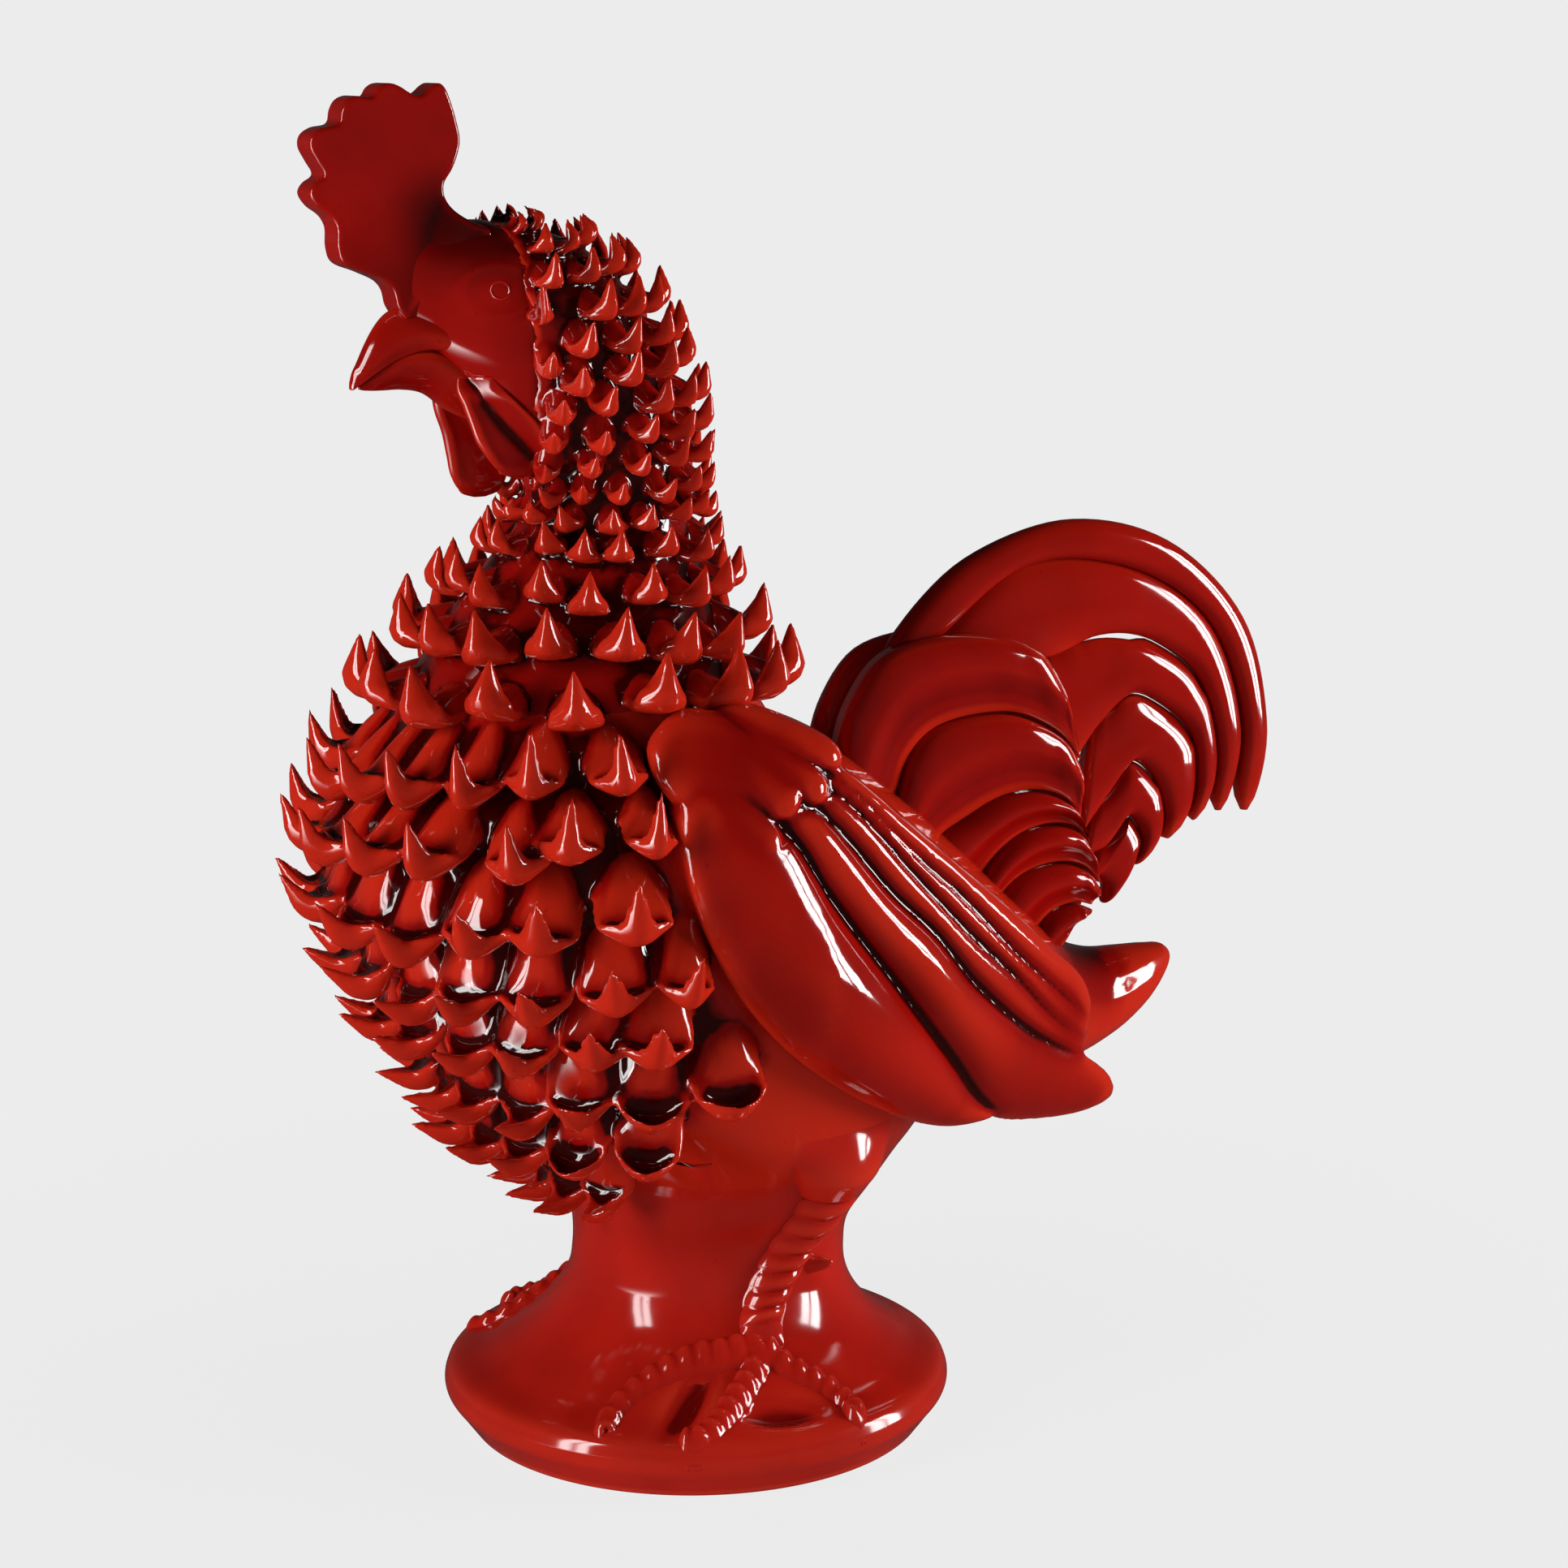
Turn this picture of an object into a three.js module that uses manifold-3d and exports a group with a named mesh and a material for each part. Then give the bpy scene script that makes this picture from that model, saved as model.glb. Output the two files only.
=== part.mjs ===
// Glazed ceramic rooster on a round pedestal, as an assembly of its luted pieces
// Millimetres, +Z up. The head looks along -X, the bird's left side faces -Y, the foot rests on Z = 0.
import * as THREE from 'three';
import { mergeVertices } from 'three/addons/utils/BufferGeometryUtils.js';
import Module from 'manifold-3d';

const wasm = await Module();
wasm.setup();

// Driving dimensions
const footRadius = 83;
const rimHeight = 13;
const rimRound = 8;
const waistRadius = 44.6;
const waistHeight = 57;
const floorThickness = 8;
const ventRadius = 6;
const ventOffset = 28;
const wall = 6;
const seam = 0.3;
const bodySeamHeight = 92;
const neckSeamHeight = 246;
const faceSeamTop = -68;
const faceSeamLean = 0.09;
const throatHeight = 305;
const crownHeight = 391;
const combThickness = 12.4;
const combRound = 2.6;
const leftWattleDrop = 313;
const rightWattleDrop = 305;
const wattleRear = -55;
const mouthHeight = 346;
const eyeRadius = 4.6;
const eyelidRound = 1.3;
const tailCoreThickness = 11;
const sickleThickness = 13.5;
const covertRise = 8;
const wingProud = 4;
const wingDepth = 9;
const legRise = 6.5;
const scuteCount = 7;
const toeRadius = 3.4;
const toeRibs = 6;
const spurLength = 8;
const recessDepth = 2.6;
const breastRows = 8;
const breastColumns = 22;
const breastHem = 104;
const breastHang = 22;
const breastClaw = 15;
const baseTurns = 24;
const headTurns = 20;
const hackleRows = 12;
const hackleColumns = 16;
const hackleClaw = 6.5;
const solidRumpFrom = 148;
const blockSize = 600;

// Glaze
const glazeRed = 0x9c0d06;
const footRed = 0xb0190c;

const V = (x, y, z) => new THREE.Vector3(x, y, z);
const lerp = THREE.MathUtils.lerp;
const rad = THREE.MathUtils.degToRad;
const clamp = THREE.MathUtils.clamp;
const smooth = THREE.MathUtils.smoothstep;

// The outlines are drawn for these seams and this crown, and follow them where one is moved
const drawnSeams = [0, 92, 246, 305, 391];
const namedSeams = [0, bodySeamHeight, neckSeamHeight, throatHeight, crownHeight];

function onBird(z) {
  const above = drawnSeams.findIndex((height) => height >= z);
  if (above < 0) return crownHeight + z - drawnSeams[drawnSeams.length - 1];
  const i = Math.max(1, above);
  const share = (z - drawnSeams[i - 1]) / (drawnSeams[i] - drawnSeams[i - 1]);
  return lerp(namedSeams[i - 1], namedSeams[i], share);
}

// Stations of the thrown trunk, from the foot to the crown of the head. Each is an egg-shaped level:
// x is its widest place, front and back are its reach from there, and half is its half width.
const round = (z, x, radius) => ({ z, x, front: radius, back: radius, half: radius });
const egg = (z, x, front, back, half) => ({ z, x, front, back, half });
const footStations = [
  round(0, 0, footRadius - rimRound),
  round(rimHeight - rimRound * 0.8, 0, footRadius - rimRound * 0.4),
  round(rimHeight - rimRound * 0.3, 0, footRadius - rimRound * 0.05),
  round(rimHeight + rimRound * 0.3, 0, footRadius - rimRound * 0.05),
  round(rimHeight + rimRound * 0.8, 0, footRadius - rimRound * 0.4),
  round(rimHeight + rimRound + 2, 0.4, footRadius - rimRound * 1.5),
];
const waistStations = [
  round(waistHeight - 30, 1, waistRadius + 20),
  round(waistHeight - 23, 2, waistRadius + 11),
  round(waistHeight - 16, 3, waistRadius + 5),
  round(waistHeight - 8, 4, waistRadius + 1),
  round(waistHeight, 4.5, waistRadius),
  round(waistHeight + 11, 5.5, waistRadius + 1),
];
const bodyStations = [
  egg(79, 7, 49, 53, 50),
  egg(88, 8, 51, 59, 54),
  egg(97, 6, 55, 69, 59),
  egg(107, 2, 60, 80, 64),
  egg(118, -5, 66, 85, 68),
  egg(135, -15, 67, 88, 73),
  egg(150, -22, 70.5, 88, 76),
  egg(166, -28, 71, 86, 77),
  egg(184, -34, 73.5, 82, 77),
  egg(202, -37, 73.5, 74, 74),
  egg(219, -40, 66.5, 67, 67),
  egg(233, -41, 59.5, 63, 60),
];
const neckStations = [
  egg(246, -41.8, 53, 56, 53),
  egg(258, -39.4, 48, 47.6, 45.5),
  egg(270, -38, 42, 42, 39),
  egg(284, -34.8, 34, 34, 32),
  egg(300, -30, 26.5, 26, 25),
  egg(312, -30, 27, 24.5, 24.5),
  egg(323, -32, 35, 25.3, 26),
  egg(334, -37, 39, 29, 27),
  egg(345, -44, 38.5, 32.5, 27.5),
  egg(355, -48, 43, 31.5, 27.5),
  egg(365, -52, 46, 30, 26),
  egg(374, -58, 42, 29.8, 23),
  egg(382, -65, 32, 26.3, 19),
  egg(387, -70, 21, 20, 13.5),
  egg(390, -74, 9.5, 9, 7),
];
const stations = [...footStations, ...waistStations, ...bodyStations, ...neckStations]
  .map((s) => egg(onBird(s.z), s.x, s.front, s.back, s.half));

function levelAt(z) {
  const next = stations.findIndex((s) => s.z >= z);
  if (next === 0) return stations[0];
  if (next < 0) return stations[stations.length - 1];
  const a = stations[next - 1];
  const b = stations[next];
  const t = (z - a.z) / (b.z - a.z);
  const [x, front, back, half] = ['x', 'front', 'back', 'half'].map((key) => lerp(a[key], b[key], t));
  return egg(z, x, front, back, half);
}

// A point of the trunk's skin. The turn is 0 at the breast, 90 on the bird's left and 180 at the back.
function skinPoint(turn, z, grow = 0) {
  const s = levelAt(z);
  const c = Math.cos(rad(turn));
  const reach = (c > 0 ? s.front : s.back) + grow;
  return V(s.x - reach * c, -(s.half + grow) * Math.sin(rad(turn)), z);
}

function skinFrame(turn, z) {
  const down = skinPoint(turn, z - 1.5).sub(skinPoint(turn, z + 1.5)).normalize();
  const side = skinPoint(turn + 2, z).sub(skinPoint(turn - 2, z)).normalize();
  const out = V(0, 0, 0).crossVectors(down, side).normalize();
  return { point: skinPoint(turn, z), down, side, out };
}

// Solids are kept as manifolds, which join and cut; rings are skinned and closed at both ends
function solidFrom(points, faces) {
  const volume = faces.reduce((sum, [a, b, c]) => {
    const n = V(0, 0, 0).crossVectors(points[b], points[c]);
    return sum + points[a].dot(n);
  }, 0);
  const triVerts = new Uint32Array(faces.length * 3);
  faces.forEach(([a, b, c], i) => triVerts.set(volume > 0 ? [a, b, c] : [a, c, b], i * 3));
  const vertProperties = new Float32Array(points.length * 3);
  points.forEach((p, i) => vertProperties.set([p.x, p.y, p.z], i * 3));
  return new wasm.Manifold(new wasm.Mesh({ numProp: 3, vertProperties, triVerts }));
}

function skin(rings, options = {}) {
  const n = rings[0].length;
  const points = rings.flat();
  const faces = [];
  for (let i = 0; i + 1 < rings.length; i += 1) {
    for (let j = 0; j < n; j += 1) {
      const k = (j + 1) % n;
      faces.push([i * n + j, i * n + k, (i + 1) * n + k]);
      faces.push([i * n + j, (i + 1) * n + k, (i + 1) * n + j]);
    }
  }
  const close = (start, tip, flip) => {
    const middle = tip ?? rings[start / n].reduce((m, p) => m.add(p), V(0, 0, 0)).divideScalar(n);
    const at = points.push(middle) - 1;
    for (let j = 0; j < n; j += 1) {
      const k = (j + 1) % n;
      faces.push(flip ? [start + k, start + j, at] : [start + j, start + k, at]);
    }
  };
  close(0, options.startTip, true);
  close((rings.length - 1) * n, options.endTip, false);
  return solidFrom(points, faces);
}

function fromGeometry(geometry) {
  const bare = new THREE.BufferGeometry();
  bare.setAttribute('position', geometry.getAttribute('position'));
  if (geometry.index) bare.setIndex(geometry.index);
  const merged = mergeVertices(bare, 1e-4);
  const position = merged.getAttribute('position');
  const pointAt = (_, i) => V(0, 0, 0).fromBufferAttribute(position, i);
  const points = Array.from({ length: position.count }, pointAt);
  const faces = [];
  for (let i = 0; i < merged.index.count; i += 3) {
    const face = [0, 1, 2].map((k) => merged.index.getX(i + k));
    if (new Set(face).size === 3) faces.push(face);
  }
  return solidFrom(points, faces);
}

function toMesh(name, solid, color = glazeRed, roughness = 0.12) {
  const made = solid.getMesh();
  const geometry = new THREE.BufferGeometry();
  geometry.setAttribute('position', new THREE.BufferAttribute(new Float32Array(made.vertProperties), 3));
  geometry.setIndex(new THREE.BufferAttribute(new Uint32Array(made.triVerts), 1));
  geometry.computeVertexNormals();
  const material = new THREE.MeshStandardMaterial({ color, roughness, metalness: 0 });
  const mesh = new THREE.Mesh(geometry, material);
  mesh.name = name;
  return mesh;
}

const joined = (solids) => solids.reduce((all, s) => all.add(s));
const mirrored = (solid) => {
  const made = solid.getMesh();
  const points = [];
  for (let i = 0; i < made.vertProperties.length; i += made.numProp) {
    points.push(V(made.vertProperties[i], -made.vertProperties[i + 1], made.vertProperties[i + 2]));
  }
  const faces = [];
  for (let i = 0; i < made.triVerts.length; i += 3) {
    faces.push([made.triVerts[i], made.triVerts[i + 2], made.triVerts[i + 1]]);
  }
  return solidFrom(points, faces);
};
const spline = (points) => new THREE.CatmullRomCurve3(points, false, 'centripetal');
const planePoints = (pairs) => pairs.map(([x, z]) => V(x, 0, onBird(z)));

function placedBox(width, depth, height, x, y, z, leanY = 0) {
  const geometry = new THREE.BoxGeometry(width, depth, height);
  geometry.rotateY(leanY);
  geometry.translate(x, y, z);
  return fromGeometry(geometry);
}

// The thrown trunk between two heights, grown or shrunk along its skin
function trunk(fromZ, toZ, grow, turns) {
  const levels = stations.map((s) => s.z).filter((z) => z > fromZ + 0.6 && z < toZ - 0.6);
  const rings = [fromZ, ...levels, toZ].map((z) =>
    Array.from({ length: turns }, (_, i) => skinPoint((i * 360) / turns, z, grow)));
  return skin(rings);
}

// The back, which narrows from the trunk to the upturned rump
const backStations = [
  { x: -30, top: 228, bottom: 112, half: 58 },
  { x: 5, top: 233, bottom: 99, half: 66 },
  { x: 35, top: 227, bottom: 95, half: 66 },
  { x: 65, top: 206, bottom: 94, half: 58 },
  { x: 92, top: 183, bottom: 95, half: 46 },
  { x: 116, top: 161, bottom: 97, half: 34 },
  { x: 136, top: 144, bottom: 100, half: 24 },
  { x: 151, top: 138, bottom: 104, half: 17.5 },
  { x: 165, top: 137, bottom: 110.5, half: 13 },
  { x: 176, top: 136.5, bottom: 119, half: 8.5 },
  { x: 182, top: 135.5, bottom: 126, half: 4.6 },
];
const rumpTip = V(184.8, 0, onBird(131));

function back(grow, sides) {
  const rings = backStations.map((s) =>
    Array.from({ length: sides }, (_, i) => {
      const a = (i * 2 * Math.PI) / sides;
      const middle = (onBird(s.top) + onBird(s.bottom)) / 2;
      const tall = (onBird(s.top) - onBird(s.bottom)) / 2 + grow;
      return V(s.x, (s.half + grow) * Math.sin(a), middle + tall * Math.cos(a));
    }));
  return skin(rings, { endTip: rumpTip.clone().add(V(grow, 0, 0)) });
}

// A feather hangs from its root, then its lip curls out and up into a claw. Shares of its length give
// its half width, how far its flanks rise and how thick it is.
const petal = [
  { at: 0.42, wide: 1.03, rise: 0.05, thick: 1 },
  { at: 0.59, wide: 0.84, rise: 0.6, thick: 1 },
  { at: 0.76, wide: 0.44, rise: 0.72, thick: 0.72 },
];
const broadLip = [
  { at: 0.5, wide: 0.99, rise: 0.2, thick: 1 },
  { at: 0.82, wide: 0.84, rise: 0.7, thick: 0.8 },
];
const thorn = [
  { at: 0.42, wide: 1, rise: 0, thick: 1 },
  { at: 0.68, wide: 0.68, rise: 0.5, thick: 0.9 },
];
const bud = [{ at: 0.58, wide: 0.86, rise: 0.35, thick: 1 }];

function feather(frame, size, shape) {
  const { point, down, side, out } = frame;
  const root = rad(size.rootLean);
  const arc = size.bend * rad(size.tipLean - size.rootLean);
  const length = size.hang + arc + size.claw;
  const spineAt = (share) => {
    const run = share * length;
    const lean = rad(lerp(size.rootLean, size.tipLean, clamp((run - size.hang) / arc, 0, 1)));
    const hung = Math.min(run, size.hang);
    const past = Math.max(0, run - size.hang - arc);
    const curled = [Math.sin(lean) - Math.sin(root), Math.cos(root) - Math.cos(lean)];
    const fall = hung * Math.cos(root) + size.bend * curled[0] + past * Math.cos(lean);
    const reach = hung * Math.sin(root) + size.bend * curled[1] + past * Math.sin(lean);
    const place = point.clone()
      .addScaledVector(down, fall - size.lift)
      .addScaledVector(out, reach - size.sink);
    const face = out.clone().multiplyScalar(Math.cos(lean)).addScaledVector(down, -Math.sin(lean));
    return { place, face };
  };
  const rings = shape.map(({ at, wide, rise, thick }) => {
    const { place, face } = spineAt(at);
    const half = (size.width / 2) * wide;
    const middle = -0.35 * rise * half;
    const body = (size.thick / 2) * thick;
    const flank = middle + rise * half;
    const section = [
      [-1, flank + body * 0.5], [0, middle + body], [1, flank + body * 0.5],
      [0.84, flank - body * 0.6], [0, middle - body], [-0.84, flank - body * 0.6],
    ];
    return section.map(([across, up]) => {
      return place.clone().addScaledVector(side, across * half).addScaledVector(face, up);
    });
  });
  return { rings, tip: spineAt(1).place };
}

// The coat grows out of the skin, whose cells are laid like bricks. Each cell that bears a feather is
// drawn out along it, and the others stay flush.
function coatedTrunk(levels, count, featherAt, grow = 0) {
  const n = count * 2;
  const ringAt = (z) => Array.from({ length: n }, (_, k) => skinPoint((k * 360) / n, z, grow));
  const points = levels.flatMap(ringAt);
  const faces = [];
  const fan = (ring, tip) => ring.forEach((a, k) => faces.push([a, ring[(k + 1) % ring.length], tip]));
  for (let row = 0; row + 1 < levels.length; row += 1) {
    for (let cell = 0; cell < count; cell += 1) {
      const first = 2 * cell + (row % 2);
      const upper = [0, 1, 2].map((k) => row * n + ((first + k) % n));
      const lower = upper.map((at) => at + n).reverse();
      const turn = ((((first + 1) * 360) / n + 180) % 360) - 180;
      const drawn = featherAt(turn, (levels[row] + levels[row + 1]) / 2);
      if (!drawn) {
        faces.push([upper[0], upper[1], lower[1]], [upper[0], lower[1], lower[2]]);
        faces.push([upper[1], upper[2], lower[0]], [upper[1], lower[0], lower[1]]);
        continue;
      }
      let ring = [...upper, ...lower];
      drawn.rings.forEach((next) => {
        const start = points.length;
        points.push(...next);
        ring.forEach((a, k) => {
          const b = (k + 1) % ring.length;
          faces.push([a, ring[b], start + b], [a, start + b, start + k]);
        });
        ring = ring.map((_, k) => start + k);
      });
      fan(ring, points.push(drawn.tip) - 1);
    }
  }
  const loop = (row) => Array.from({ length: n }, (_, k) => row * n + k);
  const middle = (row) => {
    const s = levelAt(levels[row]);
    return points.push(V(s.x, 0, s.z)) - 1;
  };
  fan(loop(0).reverse(), middle(0));
  fan(loop(levels.length - 1), middle(levels.length - 1));
  return solidFrom(points, faces);
}

function steppedLevels(fromZ, toZ, rows) {
  return Array.from({ length: rows + 1 }, (_, i) => lerp(fromZ, toZ, i / rows));
}

// The breast coat runs from under one wing round the front to under the other. Its hem rises towards
// the legs, where the last feathers end in a broad lip, and in front the claws point further out.
function breastFeather(turn, z) {
  const aside = Math.abs(turn);
  const lowest = breastHem + 0.62 * Math.max(0, aside - 25);
  const size = (Math.PI * (levelAt(z).front + levelAt(z).half)) / breastColumns;
  const clearOfWing = [0, 8, 16].every((fall) => {
    return skinPoint(turn, z - fall).x + size * 0.5 < wingFrontAt(z - fall) - seam * 2;
  });
  if (z < lowest || !clearOfWing) return null;
  const atHem = aside > 38 && z - lowest < 24;
  const flank = smooth(aside, 15, 75);
  return feather(skinFrame(turn, z), {
    hang: breastHang,
    bend: 5.5,
    claw: breastClaw * (atHem ? 0.47 : lerp(0.87, 1, flank)),
    width: size * 1.04,
    thick: 5.4,
    rootLean: lerp(26, 34, flank),
    tipLean: atHem ? 122 : lerp(128, 150, flank),
    lift: 3,
    sink: 2.5,
  }, atHem ? broadLip : petal);
}

// The hackles are thorns in staggered rows round the neck and up over the nape, finer towards the head
function hackle(turn, z) {
  const level = levelAt(z);
  const size = (Math.PI * (level.half + (level.front + level.back) / 2)) / hackleColumns;
  const frame = skinFrame(turn, z);
  const clearOfFace = frame.point.x > faceSeamAt(z) + size * 0.55 || z < throatHeight - size;
  const besideWattle = z > onBird(rightWattleDrop) - size && z < onBird(mouthHeight)
    && frame.point.x < wattleRear + size * 0.7;
  if (!clearOfFace || besideWattle || z > crownHeight - 2) return null;
  const scale = Math.min(size, (throatHeight - neckSeamHeight) * 0.32) / 10.5;
  return feather(frame, {
    hang: 6 * scale,
    bend: 3 * scale,
    claw: hackleClaw * scale,
    width: 8.4 * scale,
    thick: 4 * scale,
    rootLean: 38,
    tipLean: 146,
    lift: 1.5 * scale,
    sink: 1.2,
  }, z > throatHeight ? bud : thorn);
}

// The seam between the face and the hackled hood is a leaning plane
function faceSeamAt(z) {
  return faceSeamTop + faceSeamLean * (crownHeight - z);
}

function behindFace(shift) {
  const middle = faceSeamAt(throatHeight) + blockSize / 2 + shift;
  const lean = Math.atan(faceSeamLean);
  const behind = placedBox(blockSize, blockSize, blockSize, middle, 0, throatHeight, -lean);
  const under = placedBox(blockSize, blockSize, blockSize, 0, 0, throatHeight + shift - blockSize / 2);
  return behind.add(under);
}

// Wing: five primaries pressed side by side, with leaf coverts over the shoulder
function wingY(x, z) {
  const across = (z - onBird(175)) / (onBird(287) - onBird(175));
  return (80 - 0.14 * Math.max(x, 0)) * Math.sqrt(Math.max(0.05, 1 - across * across));
}

const wingCreases = [
  [[-42, 230], [-43, 217], [-40, 194], [-30, 170], [-9, 144], [28, 117.5], [60, 103.5], [80, 103.5]],
  [[-36, 234], [-8, 212], [4.5, 191], [30, 159], [58, 126.5], [71, 111], [81, 103.5]],
  [[-30, 238], [2.5, 217], [26, 190], [43, 174.5], [59, 156], [80.5, 138], [95.5, 128.5], [114, 118]],
  [[-25, 241], [9.5, 222.5], [39.5, 190], [53, 176], [75.5, 156.5], [95, 137], [113, 124]],
  [[-20, 243], [16, 221], [32, 203], [53, 185], [75, 163], [93.5, 148], [114, 131]],
  [[-30, 246], [-3, 239.5], [17, 226.5], [42, 205], [75, 177], [91, 162.5], [105, 150.5], [113, 139]],
];

function wingFrontAt(z) {
  const edge = wingCreases[0].map(([x, height]) => [x, onBird(height)]);
  const next = clamp(edge.findIndex(([, height]) => height < z), 1, edge.length - 1);
  const [[x1, z1], [x2, z2]] = [edge[next - 1], edge[next]];
  return lerp(x1, x2, clamp((z1 - z) / (z1 - z2), 0, 1));
}

const lowerTip = [[97, 98.5], [114, 97], [130, 98]];
const upperTip = [[127, 109.5], [132.5, 103]];

function primary(low, high, rise, rootFade) {
  const lowCurve = spline(planePoints(low));
  const highCurve = spline(planePoints(high));
  const rings = [];
  const steps = 6;
  for (let i = 0; i <= steps; i += 1) {
    const u = i / steps;
    const a = lowCurve.getPointAt(u);
    const b = highCurve.getPointAt(u);
    const swell = rise * Math.max(rootFade, Math.sin(Math.PI * clamp(u * 0.9 + 0.06, 0, 1)));
    const across = [0, 0.25, 0.75, 1];
    const outer = across.map((t) => {
      const p = a.clone().lerp(b, t);
      return V(p.x, -(wingY(p.x, p.z) + wingProud - 2 + swell * Math.sin(Math.PI * t) ** 0.8), p.z);
    });
    const inner = [1, 0].map((t) => {
      const p = a.clone().lerp(b, t);
      return V(p.x, -(wingY(p.x, p.z) - lerp(wingDepth * 1.6, 2, smooth(u, 0.2, 0.9))), p.z);
    });
    rings.push([...outer, ...inner]);
  }
  return skin(rings);
}

function leafCovert(root, tip, width, lift) {
  const rings = [];
  const steps = 3;
  for (let i = 0; i <= steps; i += 1) {
    const t = i / steps;
    const x = lerp(root[0], tip[0], t);
    const z = onBird(lerp(root[1], tip[1], t));
    const w = (width / 2) * Math.sqrt(Math.max(0.02, 1 - (2 * t - 0.95) ** 2 * 0.98));
    const dx = (tip[1] - root[1]) / Math.hypot(tip[0] - root[0], tip[1] - root[1]);
    const dz = -(tip[0] - root[0]) / Math.hypot(tip[0] - root[0], tip[1] - root[1]);
    const y = wingY(x, z) + wingProud + lift * t;
    rings.push([
      V(x - dx * w, -(wingY(x, z) - 2), z - dz * w),
      V(x - dx * w * 0.5, -(y + 2.4), z - dz * w * 0.5),
      V(x + dx * w * 0.5, -(y + 2.4), z + dz * w * 0.5),
      V(x + dx * w, -(wingY(x, z) - 2), z + dz * w),
    ]);
  }
  return skin(rings);
}

function leftWing() {
  const [c0, c1, c2, c3, c4, c5] = wingCreases;
  const lap = 1.2;
  const shift = (curve, by) => curve.map(([x, z]) => [x + by * 0.6, z + by * 0.8]);
  const blades = [
    primary(c0, shift(c1, lap), 8, 0.5),
    primary([...shift(c1, -lap), ...lowerTip], [...shift(c2, lap), ...upperTip], 7, 0.3),
    primary(shift(c2, -lap), shift(c3, lap), 4.2, 0.3),
    primary(shift(c3, -lap), shift(c4, lap), 4.2, 0.3),
    primary(shift(c4, -lap), c5, 4.8, 0.4),
  ];
  const leaves = [
    leafCovert([-38, 235], [-13, 202], 20, 2),
    leafCovert([-30, 242], [-4, 217], 19, 2.4),
    leafCovert([-24, 244], [7, 220], 15, 2.2),
    leafCovert([-22, 247], [15, 230], 13, 1.6),
  ];
  return joined([...blades, ...leaves]);
}

// Tail: a core plate on the back carries the sickles behind it and the coverts on both faces. Sickles
// nest between the same edges, each edge sampled once, and the slots between them go right through.
const sampled = (pairs, count) => spline(planePoints(pairs)).getSpacedPoints(count);
const sickleEdges = [
  sampled([
    [57, 222], [64, 239], [85, 264.5], [104, 277.5], [141, 286.4], [180, 276.8], [211.6, 247.7],
    [224, 212], [222, 179]
  ], 14),
  sampled([
    [66, 219], [76, 238], [91, 252], [123, 272.5], [164, 269], [196, 249], [211, 213], [209, 180.5]
  ], 14),
  sampled([
    [74, 216], [84, 229], [97, 237], [114, 240.5], [134, 241], [151, 246.5], [166, 246],
    [178, 241.5], [192.5, 230], [201.5, 203], [199, 181]
  ], 14),
  sampled([
    [144, 205], [154, 217], [166, 225.5], [178, 221.3], [191, 209.5], [193.3, 193], [189.5, 176.5]
  ], 9),
  sampled([[145.6, 177], [155, 189], [166, 202], [175, 197], [180.3, 183], [178.5, 170.5]], 8),
  sampled([[147.2, 170.5], [156, 173], [166, 183], [171.5, 175.5], [167, 162.5]], 7),
  sampled([[148, 158.5], [153, 163], [156.5, 160], [156.5, 151]], 6),
];
const slotWidths = [0, 0, 3.4, 5.2, 4.6, 3.2];

// A point of a feather's edge, moved square to the edge towards the feather below it
function besideEdge(edge, i, by) {
  const before = edge[Math.max(0, i - 1)];
  const after = edge[Math.min(edge.length - 1, i + 1)];
  const along = after.clone().sub(before).normalize();
  return edge[i].clone().add(V(along.z * by, 0, -along.x * by));
}

function sickle(outer, inner, halfThick, slot) {
  const rings = outer.map((_, i) => {
    const u = i / (outer.length - 1);
    const slotted = slot * Math.max(0, Math.sin(Math.PI * clamp((u - 0.1) / 0.55, 0, 1)));
    const a = besideEdge(outer, i, seam / 2 + slotted);
    const b = besideEdge(inner, i, -seam / 2);
    const tip = u > 0.9 ? 1 - 4.5 * (u - 0.9) : 1;
    const middle = a.clone().lerp(b, 0.5);
    return [0, 55, 90, 125, 180, 235, 270, 305].map((deg) => {
      const reach = a.clone().sub(b).multiplyScalar((Math.sign(Math.cos(rad(deg))) * tip) / 2);
      reach.multiplyScalar(Math.abs(Math.cos(rad(deg))) ** 0.7);
      const rise = Math.sign(Math.sin(rad(deg))) * Math.abs(Math.sin(rad(deg))) ** 0.8;
      return middle.clone().add(reach).add(V(0, rise * halfThick * tip, 0));
    });
  });
  return skin(rings);
}

function sickles() {
  return sickleEdges.slice(0, -1).map((edge, i) => {
    const inner = sickleEdges[i + 1];
    return sickle(edge.slice(-inner.length), inner, (sickleThickness / 2) * (1 - 0.05 * i), slotWidths[i]);
  });
}

const coreOutline = [
  [112, 120], [70, 168], [54, 190], [57, 202], [66, 216], [76, 226], [92, 233], [112, 236.5],
  [130, 236], [139, 222], [143, 204], [142.5, 186], [144.5, 176], [146, 168], [146, 158],
  [144, 152], [139, 144], [128, 128],
];

// A loop in the tail's plane, moved out from its own middle line by line
function grownLoop(loop, by) {
  return loop.map(([x, z], i) => {
    const before = loop[(i + loop.length - 1) % loop.length];
    const after = loop[(i + 1) % loop.length];
    const along = new THREE.Vector2(after[0] - before[0], after[1] - before[1]).normalize();
    return [x - along.y * by, z + along.x * by];
  });
}

function plate(loop, thickness) {
  const outline = new THREE.Shape(loop.map(([x, z]) => new THREE.Vector2(x, onBird(z))));
  const geometry = new THREE.ExtrudeGeometry(outline, { depth: thickness, bevelEnabled: false });
  geometry.rotateX(Math.PI / 2);
  geometry.translate(0, thickness / 2, 0);
  return fromGeometry(geometry);
}

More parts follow.
